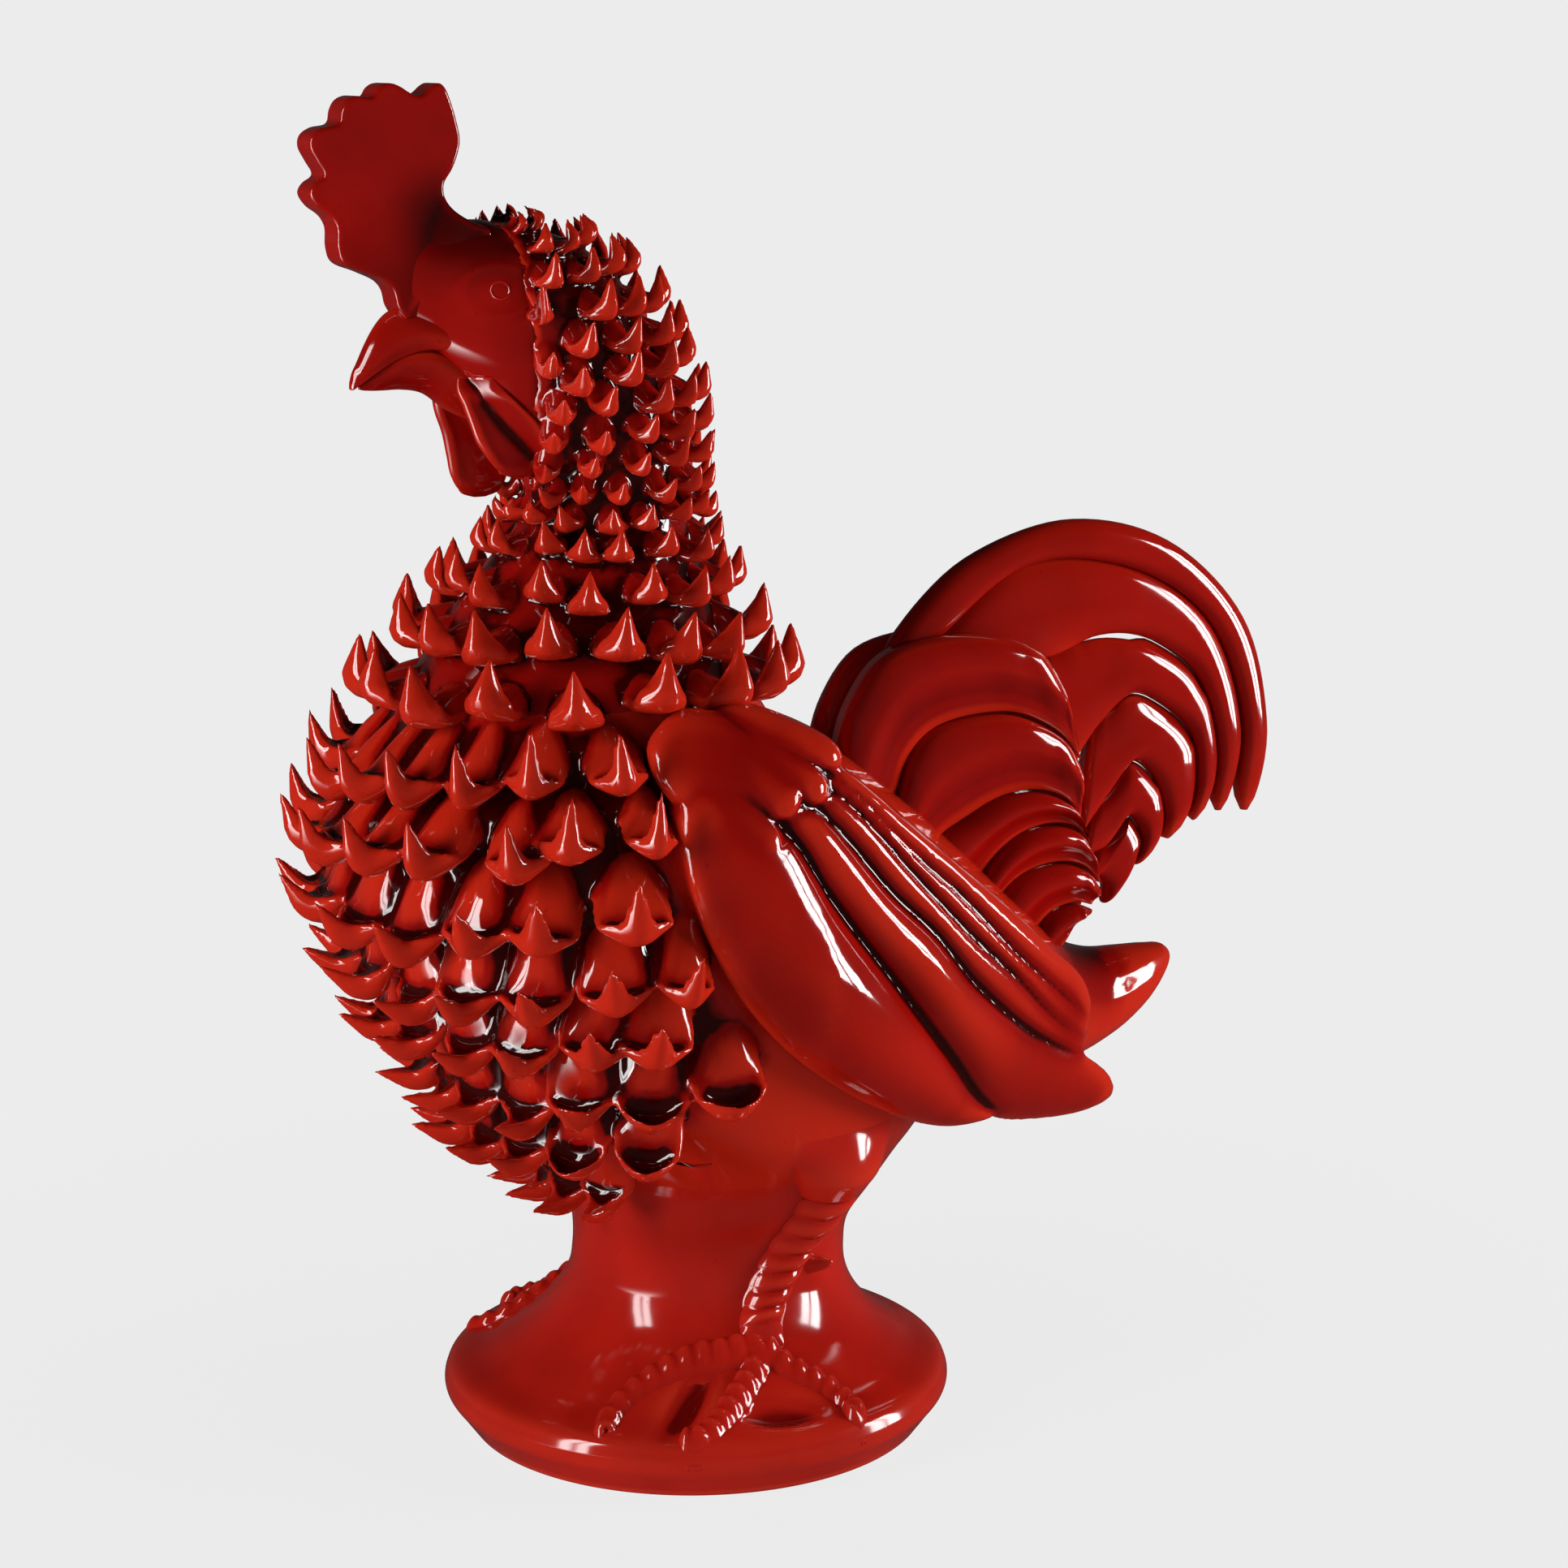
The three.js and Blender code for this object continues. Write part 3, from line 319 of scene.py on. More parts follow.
def read_rows(source: object, name: str, width: int, kind: type = np.float32) -> Array:
    """Reads a property of all items of a mesh.

    Args:
        source: the mesh's vertices, edges or normals.
        name: the property.
        width: how many values it has.
        kind: the type of its values.

    Returns:
        One row for each item.
    """
    flat = np.empty(len(source) * width, kind)
    source.foreach_get(name, flat)
    return flat.reshape(-1, width)


def note_hollows(obj: Object, passes: int, pool_and_shade: Callable | None = None, full: float = 1.2) -> None:
    """Stores how far each point lies in a hollow, for glaze that pools there and for shade painted there.

    Args:
        obj: the finished mesh.
        passes: how far the comparison reaches, in passes of smoothing.
        pool_and_shade: changes the depths at their places in millimetres, where glaze ran or gathered and
            where shade is painted.
        full: millimetres at which a hollow counts as full.
    """
    mesh = obj.data
    count = len(mesh.vertices)
    places = read_rows(mesh.vertices, "co", 3).astype(float)
    a, b = read_rows(mesh.edges, "vertices", 2, np.int32).T
    neighbours = np.maximum(np.bincount(a, minlength=count) + np.bincount(b, minlength=count), 1)
    soft = places.copy()
    for _ in range(passes):
        total = np.empty_like(soft)
        for axis in range(3):
            total[:, axis] = np.bincount(a, soft[b, axis], count) + np.bincount(b, soft[a, axis], count)
        soft = 0.5 * soft + 0.5 * total / neighbours[:, None]
    normals = read_rows(mesh.vertex_normals, "vector", 3)
    depth = ((soft - places) * normals).sum(1) / (full * MM)
    if pool_and_shade:
        depth = pool_and_shade(places / MM, depth)
    layer = mesh.attributes.new("hollow", "FLOAT", "POINT")
    layer.data.foreach_set("value", np.clip(depth, -1, 1).astype(np.float32))


# ---------------------------------------------------------------------------------------------
# Finishes
# ---------------------------------------------------------------------------------------------


class Wiring:
    """The node tree of a material or a world, wired from scratch."""

    def __init__(self, owner: Material | World) -> None:
        """Clears the owner's node tree.

        Args:
            owner: the material or the world.
        """
        owner.use_nodes = True
        self.tree = owner.node_tree
        self.tree.nodes.clear()

    def node(self, kind: str, inputs: dict | None = None, **settings: object) -> Node:
        """Adds a node.

        Args:
            kind: its type, without the word ShaderNode.
            inputs: a socket or a plain value for each input, by name or number.
            **settings: the node's own settings.

        Returns:
            The node.
        """
        added = self.tree.nodes.new(f"ShaderNode{kind}")
        for key, value in settings.items():
            setattr(added, key, value)
        for key, value in (inputs or {}).items():
            if isinstance(value, NodeSocket):
                self.tree.links.new(value, added.inputs[key])
            else:
                added.inputs[key].default_value = value
        return added

    def ramp(
        self, source: NodeSocket, low: float, high: float, start: float = 0.0, end: float = 1.0
    ) -> NodeSocket:
        """Maps a socket's range, low to high, onto start to end with a soft rise."""
        span = {0: source, "From Min": low, "From Max": high, "To Min": start, "To Max": end}
        return self.node("MapRange", span, interpolation_type="SMOOTHSTEP").outputs[0]

    def blend(self, share: NodeSocket, low: object, high: object) -> NodeSocket:
        """Mixes two colours, each a socket or a plain value."""
        return self.node("Mix", {0: share, 6: low, 7: high}, data_type="RGBA").outputs[2]


@dataclass(frozen=True)
class Glaze:
    """A thick glossy glaze over clay: thin and bright on ridges, dark where it pools, with shade painted into
    the hollows.

    Attributes:
        name: the material's name.
        body: linear colour of an even coat.
        pool_and_shade: linear colour in hollows, where glaze pools and where shade is painted.
        thin: linear colour where the coat runs thin over an edge.
        gloss: roughness of the clean coat.
        ripple: height in millimetres of the coat's slow waves.
        haze: how much rougher the coat is where it is dull.
        refraction: index of refraction of the coat.
        pit_depth: depth in millimetres of the pinholes.
        pit_radius: a pinhole's radius, in cells of the pinholes' pattern.
        cloud_scale: grain of the slow change in the coat's thickness.
        fleck_scale: grain of the dark flecks.
        pit_scale: grain of the pinholes.
        wave_scale: grain of the slow waves.
        haze_scale: grain of the dull places.
    """

    name: str
    body: tuple
    pool_and_shade: tuple
    thin: tuple
    gloss: float
    ripple: float
    haze: float = 0.07
    refraction: float = 1.52
    pit_depth: float = 0.12
    pit_radius: float = 0.045
    cloud_scale: float = 26.0
    fleck_scale: float = 420.0
    pit_scale: float = 95.0
    wave_scale: float = 55.0
    haze_scale: float = 70.0

    def material(self) -> Material:
        """Builds the node material on object coordinates.

        Returns:
            The material.
        """
        made = bpy.data.materials.new(self.name)
        made.diffuse_color = (*self.body, 1)
        wiring = Wiring(made)
        body, pool_and_shade, thin = ((*colour, 1) for colour in (self.body, self.pool_and_shade, self.thin))
        coords = wiring.node("TexCoord").outputs["Object"]

        def noise(scale: float, detail: float, roughness: float = 0.5) -> NodeSocket:
            """Gives a noise on object coordinates."""
            values = {"Vector": coords, "Scale": scale, "Detail": detail, "Roughness": roughness}
            return wiring.node("TexNoise", values).outputs[0]

        def bump(height: NodeSocket, strength: float, distance: float, **under: object) -> object:
            """Raises the surface by a height in millimetres, over the normal that it is given."""
            values = {"Strength": strength, "Distance": distance * MM, "Height": height, **under}
            return wiring.node("Bump", values).outputs[0]

        hollow = wiring.node("Attribute", attribute_name="hollow").outputs["Fac"]
        coat = wiring.blend(wiring.ramp(noise(self.cloud_scale, 3.0), 0.3, 0.75, 0.0, 0.3), body, pool_and_shade)
        coat = wiring.blend(wiring.ramp(hollow, -0.03, -0.75, 0.0, 0.8), coat, thin)
        # Painted shade: the deeper a hollow, the nearer the coat comes to the near-black hollow colour,
        # beside the glaze that pools there.
        coat = wiring.blend(wiring.ramp(hollow, 0.02, 0.58, 0.0, 0.95), coat, pool_and_shade)
        flecks = wiring.ramp(noise(self.fleck_scale, 2.0, 0.7), 0.68, 0.8, 0.0, 0.35)
        coat = wiring.blend(flecks, coat, pool_and_shade)

        cells = wiring.node("TexVoronoi", {"Vector": coords, "Scale": self.pit_scale})
        pit = wiring.ramp(cells.outputs["Distance"], 0.0, self.pit_radius)
        waves = bump(noise(self.wave_scale, 2.0), 0.5, self.ripple)
        haze = wiring.ramp(noise(self.haze_scale, 3.0), 0.35, 0.8, self.gloss, self.gloss + self.haze)
        shader = wiring.node("BsdfPrincipled", {
            "IOR": self.refraction,
            "Base Color": coat,
            "Roughness": haze,
            "Normal": bump(pit, 0.25, self.pit_depth, Normal=waves),
        })
        wiring.node("OutputMaterial", {"Surface": shader.outputs[0]})
        return made


def dress(
    obj: Object,
    glaze: Material,
    node: str,
    reach: int = 24,
    pool_and_shade: Callable | None = None,
) -> None:
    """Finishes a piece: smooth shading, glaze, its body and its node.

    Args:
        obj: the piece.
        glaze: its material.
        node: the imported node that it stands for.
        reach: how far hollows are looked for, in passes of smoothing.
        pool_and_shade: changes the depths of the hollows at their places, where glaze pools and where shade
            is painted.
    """
    pick(obj)
    bpy.ops.object.shade_smooth()
    note_hollows(obj, reach, pool_and_shade)
    obj.data.materials.clear()
    obj.data.materials.append(glaze)
    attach(obj, "root")
    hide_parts(node)
    log.info("%s: %d faces", obj.name, len(obj.data.polygons))


def crown_shade(places: Array, depth: Array) -> Array:
    """Paints shade over the crown and round the comb's root, where the upper surfaces fall dark.

    Args:
        places: points in millimetres, one row each.
        depth: how far each lies in a hollow.

    Returns:
        The changed depths, with the faint hollows evened out.
    """
    x, z = places[:, 0], places[:, 2]
    rise, fall, front, strength = (360, 390), (392, 416), (-110, -84), 0.52
    # Painted shade: the crown's upper surfaces and the comb's root are darkened by raising their hollow
    # depth.
    dark = ease(z, *rise) * (1 - ease(z, *fall)) * ease(x, *front)
    return depth * (0.5 + 0.5 * ease(np.abs(depth), 0.4, 0.8)) + strength * dark


# ---------------------------------------------------------------------------------------------
# The thrown trunk, whose skin carries everything else
# ---------------------------------------------------------------------------------------------


@dataclass(frozen=True)
class Seat:
    """A place on the skin: its point and the three directions there."""

    point: Array
    side: Array
    out: Array
    down: Array

    def matrix(self, scale: float, sink: float, lift: float, roll: float, tilt: float) -> Matrix:
        """Places a form whose axes are side, out and down.

        Args:
            scale: how much larger than modelled.
            sink: millimetres below the skin.
            lift: millimetres above the seat.
            roll: degrees of turn about the outward axis.
            tilt: degrees of turn about the side axis.

        Returns:
            The matrix, in metres.
        """
        turned = Matrix.Rotation(math.radians(roll), 4, "Y") @ Matrix.Rotation(math.radians(tilt), 4, "X")
        axes = Matrix((self.side, self.out, self.down)).transposed().to_4x4()
        place = Matrix.Translation(Vector((self.point - self.out * sink - self.down * lift) * MM))
        return place @ axes @ turned @ Matrix.Scale(scale, 4)


@dataclass(frozen=True)
class Trunk:
    """Egg-shaped levels from the foot to the crown.

    Attributes:
        foot_radius: radius of the foot.
        rim_height: height of the foot's widest level.
        rim_round: radius of the foot's round rim.
        waist_radius: radius of the waist.
        waist_height: height of the waist.
        halvings: how often a search for a height halves its range.
        levels: height, middle, reach to the front, reach to the back and half width.
    """

    foot_radius: float = 83.0
    rim_height: float = 13.0
    rim_round: float = 8.0
    waist_radius: float = 44.6
    waist_height: float = 57.0
    halvings: int = 24
    levels: tuple = (
        (79, 7, 49, 53, 50), (88, 8, 51, 59, 54), (97, 6, 55, 69, 59), (107, 2, 60, 80, 64),
        (118, -5, 66, 85, 68), (135, -15, 67, 88, 73), (150, -22, 70.5, 88, 76),
        (166, -28, 71, 86, 77), (184, -34, 73.5, 82, 77), (202, -37, 73.5, 74, 74),
        (219, -40, 66.5, 67, 67), (233, -41, 59.5, 63, 60), (246, -41.8, 53, 56, 53),
        (258, -39.4, 48, 47.6, 45.5), (270, -38, 42, 42, 39), (284, -34.8, 34, 34, 32),
        (300, -30, 26.5, 26, 25), (312, -30, 27, 24.5, 24.5), (323, -32, 35, 25.3, 26),
        (334, -37, 39, 29, 27), (345, -44, 38.5, 32.5, 27.5), (355, -48, 43, 31.5, 27.5),
        (365, -52, 46, 30, 26), (374, -58, 42, 29.8, 23), (382, -65, 32, 26.3, 19),
        (387, -70, 21, 20, 13.5), (390, -74, 9.5, 9, 7), (390.8, -74, 3, 3, 2.5),
    )

    def table(self) -> Array:
        """Gives the levels of the whole trunk.

        Returns:
            All levels from the foot up, one row each.
        """
        rim, edge, foot = self.rim_height, self.rim_round, self.foot_radius
        height, waist = self.waist_height, self.waist_radius
        thrown = (
            (0, 0, foot - edge), (rim - edge * 0.8, 0, foot - edge * 0.4),
            (rim - edge * 0.3, 0, foot - edge * 0.05), (rim + edge * 0.3, 0, foot - edge * 0.05),
            (rim + edge * 0.8, 0, foot - edge * 0.4), (rim + edge + 2, 0.4, foot - edge * 1.5),
            (height - 30, 1, waist + 20), (height - 23, 2, waist + 11), (height - 16, 3, waist + 5),
            (height - 8, 4, waist + 1), (height, 4.5, waist), (height + 11, 5.5, waist + 1),
        )
        return np.array([(z, x, r, r, r) for z, x, r in thrown] + list(self.levels), float)

    def skin(self, turns: Array, heights: Array, grow: float = 0.0) -> Array:
        """Gives points of the skin.

        Args:
            turns: degrees round the trunk, 0 at the breast and 90 on the left.
            heights: heights of the points.
            grow: millimetres proud of the skin.

        Returns:
            The points, one row each.
        """
        turns, heights = np.broadcast_arrays(np.asarray(turns, float), np.asarray(heights, float))
        table = self.table()
        x, front, back, half = hermite(table[:, 0], table[:, 1:], heights.ravel()).T
        angle = np.radians(turns.ravel())
        reach = np.where(np.cos(angle) > 0, front, back) + grow
        rows = [x - reach * np.cos(angle), -(half + grow) * np.sin(angle), heights.ravel()]
        return np.column_stack(rows).reshape(*turns.shape, 3)

    def seat(self, turn: float, height: float) -> Seat:
        """Gives the place and the directions of the skin.

        Args:
            turn: degrees round the trunk.
            height: height of the place.

        Returns:
            The seat.
        """
        fall = self.skin([turn, turn], [height - 1.5, height + 1.5])
        along = self.skin([turn + 2, turn - 2], [height, height])
        down, side = unit(fall[0] - fall[1]), unit(along[0] - along[1])
        out = unit(np.cross(down, side))
        return Seat(self.skin([turn], [height])[0], side, out, np.cross(side, out))

    def level(self, height: float) -> Array:
        """Gives middle, front, back and half width at a height."""
        table = self.table()
        return hermite(table[:, 0], table[:, 1:], [height])[0]

    def band(self, name: str, heights: Array, around: int, grow: Array) -> Object:
        """Lofts the skin between heights.

        Args:
            name: the object's name.
            heights: the rings' heights.
            around: points in a ring.
            grow: millimetres proud of the skin, one for each ring.

        Returns:
            The closed form.
        """
        turns = np.arange(around) * 360 / around
        return loft(name, np.array([self.skin(turns, z, g) for z, g in zip(heights, grow)]))

    def plan_height(self, x: Array, y: Array) -> Array:
        """Gives the height of the flared foot over points of the plan.

        Args:
            x: their X.
            y: their Y.

        Returns:
            The heights, found by halving the range between the rim and the waist.
        """
        low = np.full(np.shape(x), self.rim_height + self.rim_round * 0.1)
        high = np.full(np.shape(x), self.waist_height)
        table = self.table()
        for _ in range(self.halvings):
            middle = (low + high) / 2
            shape = hermite(table[:, 0], table[:, 1:], middle.ravel())
            inside = np.hypot((x.ravel() - shape[:, 0]) / shape[:, 1], y.ravel() / shape[:, 3]) < 1
            inside = inside.reshape(np.shape(x))
            low, high = np.where(inside, middle, low), np.where(inside, high, middle)
        return (low + high) / 2


# ---------------------------------------------------------------------------------------------
# Feathers of the coat
# ---------------------------------------------------------------------------------------------


@dataclass(frozen=True)
class Lappet:
    """A feather pinched from clay: a hanging petal whose lip curls out and up into a claw.

    Attributes:
        hang: length of the petal down to the curl.
        bend: radius of the curl.
        claw: length of the claw past the curl.
        width: across the petal.
        thick: of the clay.
        root_lean: degrees from straight down at the root.
        tip_lean: degrees from straight down along the claw.
        outline: shares of the length and of the width there.
        horn: how much thicker than the petal the claw's root is.
        hollow: shares of the length and how far the flanks rise there, as a share of the half width.
        steps: rings along the feather.
        around: points in a ring.
    """

    hang: float = 22.0
    bend: float = 5.5
    claw: float = 15.0
    width: float = 24.0
    thick: float = 5.4
    root_lean: float = 34.0
    tip_lean: float = 150.0
    horn: float = 1.2
    outline: tuple = (
        (0, 0.86), (0.2, 1.0), (0.42, 1.06), (0.52, 1.0), (0.59, 0.8), (0.66, 0.54), (0.75, 0.38),
        (0.86, 0.25), (0.94, 0.14), (1, 0.04),
    )
    hollow: tuple = ((0, -0.35), (0.32, -0.3), (0.46, 0.0), (0.56, 0.42), (0.7, 0.6), (1, 0.5))
    steps: int = 20
    around: int = 18

    def model(self, name: str) -> Object:
        """Models the feather at the origin on the axes side, out and down.

        Args:
            name: the object's name.

        Returns:
            The closed form.
        """
        arc = self.bend * math.radians(self.tip_lean - self.root_lean)
        length = self.hang + arc + self.claw
        run = np.linspace(0, length, 400)
        turned = np.clip((run - self.hang) / arc, 0, 1)
        lean = np.radians(self.root_lean + (self.tip_lean - self.root_lean) * turned)
        stride = run[1]
        down = np.concatenate([[0], np.cumsum(np.cos(lean[:-1]) * stride)])
        out = np.concatenate([[0], np.cumsum(np.sin(lean[:-1]) * stride)])
        t = np.linspace(0, 1, self.steps) ** 0.9
        places, shares = np.array(self.outline).T
        half = self.width / 2 * hermite(places, shares[:, None], t)[:, 0]
        places, rises = np.array(self.hollow).T
        hollow = hermite(places, rises[:, None], t)[:, 0] * half
        swell = 1 + (self.horn - 1) * ease(t, 0.4, 0.62)
        thick = self.thick * swell * np.minimum(1, (1.05 - t) / 0.42)
        thick *= 0.8 + 0.2 * np.minimum(1, t / 0.3)
        c, s = circle(self.around)
        rim = fuller(s, 0.65) * (1 - 0.2 * c**2)
        bent, out, down = (np.interp(t * length, run, values) for values in (lean, out, down))
        rings = []
        for k in range(self.steps):
            lift = hollow[k] * c**2 + thick[k] / 2 * rim - hollow[k] * 0.35
            rings.append(np.column_stack([
                half[k] * c, out[k] + lift * math.cos(bent[k]), down[k] - lift * math.sin(bent[k]),
            ]))
        return loft(name, np.array(rings))


@dataclass(frozen=True)
class Wing:
    """A folded wing: five primaries side by side and leaf coverts over the shoulder.

    Attributes:
        proud: how far it stands off the flank.
        tuck: how much less the primaries do, under the coverts.
        lap: how far neighbours overlap.
        root_depth: how deep the primaries' roots reach into the body.
        tip_depth: how deep their tips do.
        clay: how its feathers run together.
        flank_out: how far out the flank lies at its widest level.
        flank_level: height of that level.
        flank_tall: distance from that level to where the flank closes.
        flank_taper: how far the flank draws in for each millimetre back.
        rises: how far each primary swells.
        roots: the least share of that swell, at its root.
        creases: lines of X and Z on the flank, from the shoulder to the tips.
        lower_tip: the second primary's tip below.
        upper_tip: the second primary's tip above.
        leaves: root, tip, width and lift of each covert.
    """

    proud: float = 4.0
    tuck: float = 0.8
    lap: float = 1.2
    root_depth: float = 14.4
    tip_depth: float = 2.0
    clay: Clay = Clay(0.85, 9, 90)
    flank_out: float = 80.0
    flank_level: float = 175.0
    flank_tall: float = 112.0
    flank_taper: float = 0.14
    rises: tuple = (11.5, 9.5, 6.2, 6.0, 6.0)
    roots: tuple = (0.5, 0.3, 0.3, 0.3, 0.4)
    creases: tuple = (
        ((-42, 230), (-43, 217), (-40, 194), (-30, 170), (-9, 144), (28, 117.5), (60, 103.5), (80, 103.5)),
        ((-36, 234), (-8, 212), (4.5, 191), (30, 159), (58, 126.5), (71, 111), (81, 103.5)),
        ((-30, 238), (2.5, 217), (26, 190), (43, 174.5), (59, 156), (80.5, 138), (95.5, 128.5), (114, 118)),
        ((-25, 241), (9.5, 222.5), (39.5, 190), (53, 176), (75.5, 156.5), (95, 137), (113, 124)),
        ((-20, 243), (16, 221), (32, 203), (53, 185), (75, 163), (93.5, 148), (114, 131)),
        ((-30, 246), (-3, 239.5), (17, 226.5), (42, 205), (75, 177), (91, 162.5), (105, 150.5), (113, 139)),
    )
    lower_tip: tuple = ((97, 98.5), (114, 97), (130, 98))
    upper_tip: tuple = ((127, 109.5), (132.5, 103))
    leaves: tuple = (
        ((-47, 238), (-8, 226), 32, 0.2), ((-38, 235), (-13, 202), 21, 3.0), ((-30, 242), (-4, 217), 19, 4.4),
        ((-24, 244), (7, 220), 15, 4.4), ((-22, 247), (15, 230), 13, 3.6),
    )

    def flank(self, x: Array, z: Array) -> Array:
        """Gives how far out the flank lies under the wing."""
        across = np.maximum(0.05, 1 - ((z - self.flank_level) / self.flank_tall) ** 2)
        return (self.flank_out - self.flank_taper * np.maximum(x, 0)) * np.sqrt(across)

    def front(self, z: float) -> float:
        """Gives X of the wing's front edge at a height."""
        edge = np.array(self.creases[0])[::-1]
        return float(np.interp(z, edge[:, 1], edge[:, 0]))

    def primary(self, low: list, high: list, rise: float, root: float) -> Object:
        """Lofts one long feather between two creases.

        Args:
            low: the crease under it.
            high: the crease over it.
            rise: how far its back swells.
            root: the least share of the swell, at its root.

        Returns:
            The closed form.
        """
        steps, across = 46, 15
        a, b = even_curve(low, steps), even_curve(high, steps)
        share = np.linspace(0, 1, across)
        rings = []
        for k in range(steps):
            u = k / (steps - 1)
            swell = rise * max(root, math.sin(math.pi * min(1, u * 0.9 + 0.06)))
            end = round_end((u - 0.93) / 0.07) * round_end(1 - u / 0.1, 0.05)
            middle = (a[k] + b[k]) / 2
            line = middle + (a[k] + (b[k] - a[k]) * share[:, None] - middle) * (0.35 + 0.65 * end)
            base = self.flank(line[:, 0], line[:, 1])
            top = base + (self.proud - self.tuck + swell * np.sin(np.pi * share) ** 0.68) * end
            depth = self.root_depth + (self.tip_depth - self.root_depth) * float(ease(u, 0.2, 0.9))
            rings.append(np.vstack([upright(line, -top), upright(line, depth - base)[::-1][1:-1:4]]))
        return loft("primary", np.array(rings))

    def leaf(self, root: tuple, tip: tuple, width: float, lift: float) -> Object:
        """Lofts one leaf covert with a raised rim.

        Args:
            root: X and Z of its root.
            tip: X and Z of its tip.
            width: its width.
            lift: how far its tip rises over its neighbours.

        Returns:
            The closed form.
        """
        steps, across = 26, 17
        root, tip = np.array(root, float), np.array(tip, float)
        square = unit(np.array([tip[1] - root[1], root[0] - tip[0]]))
        share = np.linspace(-1, 1, across)
        rings = []
        for k in range(steps):
            t = k / (steps - 1)
            start, end = round_end(1 - t / 0.3), round_end((t - 0.78) / 0.22)
            half = width / 2 * (0.75 + 0.25 * math.sin(math.pi * t)) * end * start
            line = root + (tip - root) * t + square * half * share[:, None]
            base = self.flank(line[:, 0], line[:, 1])
            dome = (1 - np.abs(share) ** 2.6) ** 0.5
            rim = np.exp(-(((np.abs(share) - 0.72) / 0.14) ** 2)) + float(ease(t, 0.7, 0.86))
            swell = 2.2 + 2.4 * math.sin(math.pi * min(1, t * 0.62)) + 0.6 * lift * t
            top = base + (self.proud + swell) * end * start * dome
            top += 0.5 * end * np.minimum(rim, 1.1) * dome
            rings.append(np.vstack([upright(line, -top), upright(line, 4 - base)[::-1][1:-1:3]]))
        return loft("leaf", np.array(rings))

    def shifted(self, number: int, by: float) -> list:
        """Moves a crease across the blades, so that neighbours overlap."""
        return [(x + by * 0.6, z + by * 0.8) for x, z in self.creases[number]]

    def build(self) -> Object:
        """Builds the left wing as one soft skin.

        Returns:
            The wing.
        """
        last = len(self.rises) - 1
        parts = []
        for number, (rise, root) in enumerate(zip(self.rises, self.roots)):
            low = self.shifted(number, -self.lap if number else 0.0)
            high = self.shifted(number + 1, self.lap if number < last else 0.0)
            if number == 1:
                low, high = low + list(self.lower_tip), high + list(self.upper_tip)
            parts.append(self.primary(low, high, rise, root))
        parts += [self.leaf(*leaf) for leaf in self.leaves]
        wing = joined("left_wing_primaries", parts)
        fuse(wing, self.clay)
        return wing

    def pair(self, glaze: Material) -> None:
        """Builds and dresses both wings.

        Args:
            glaze: their material.
        """
        left = self.build()
        right = mirrored(left, "right_wing_primaries")
        dress(left, glaze, "left_wing", self.clay.reach)
        dress(right, glaze, "right_wing", self.clay.reach)


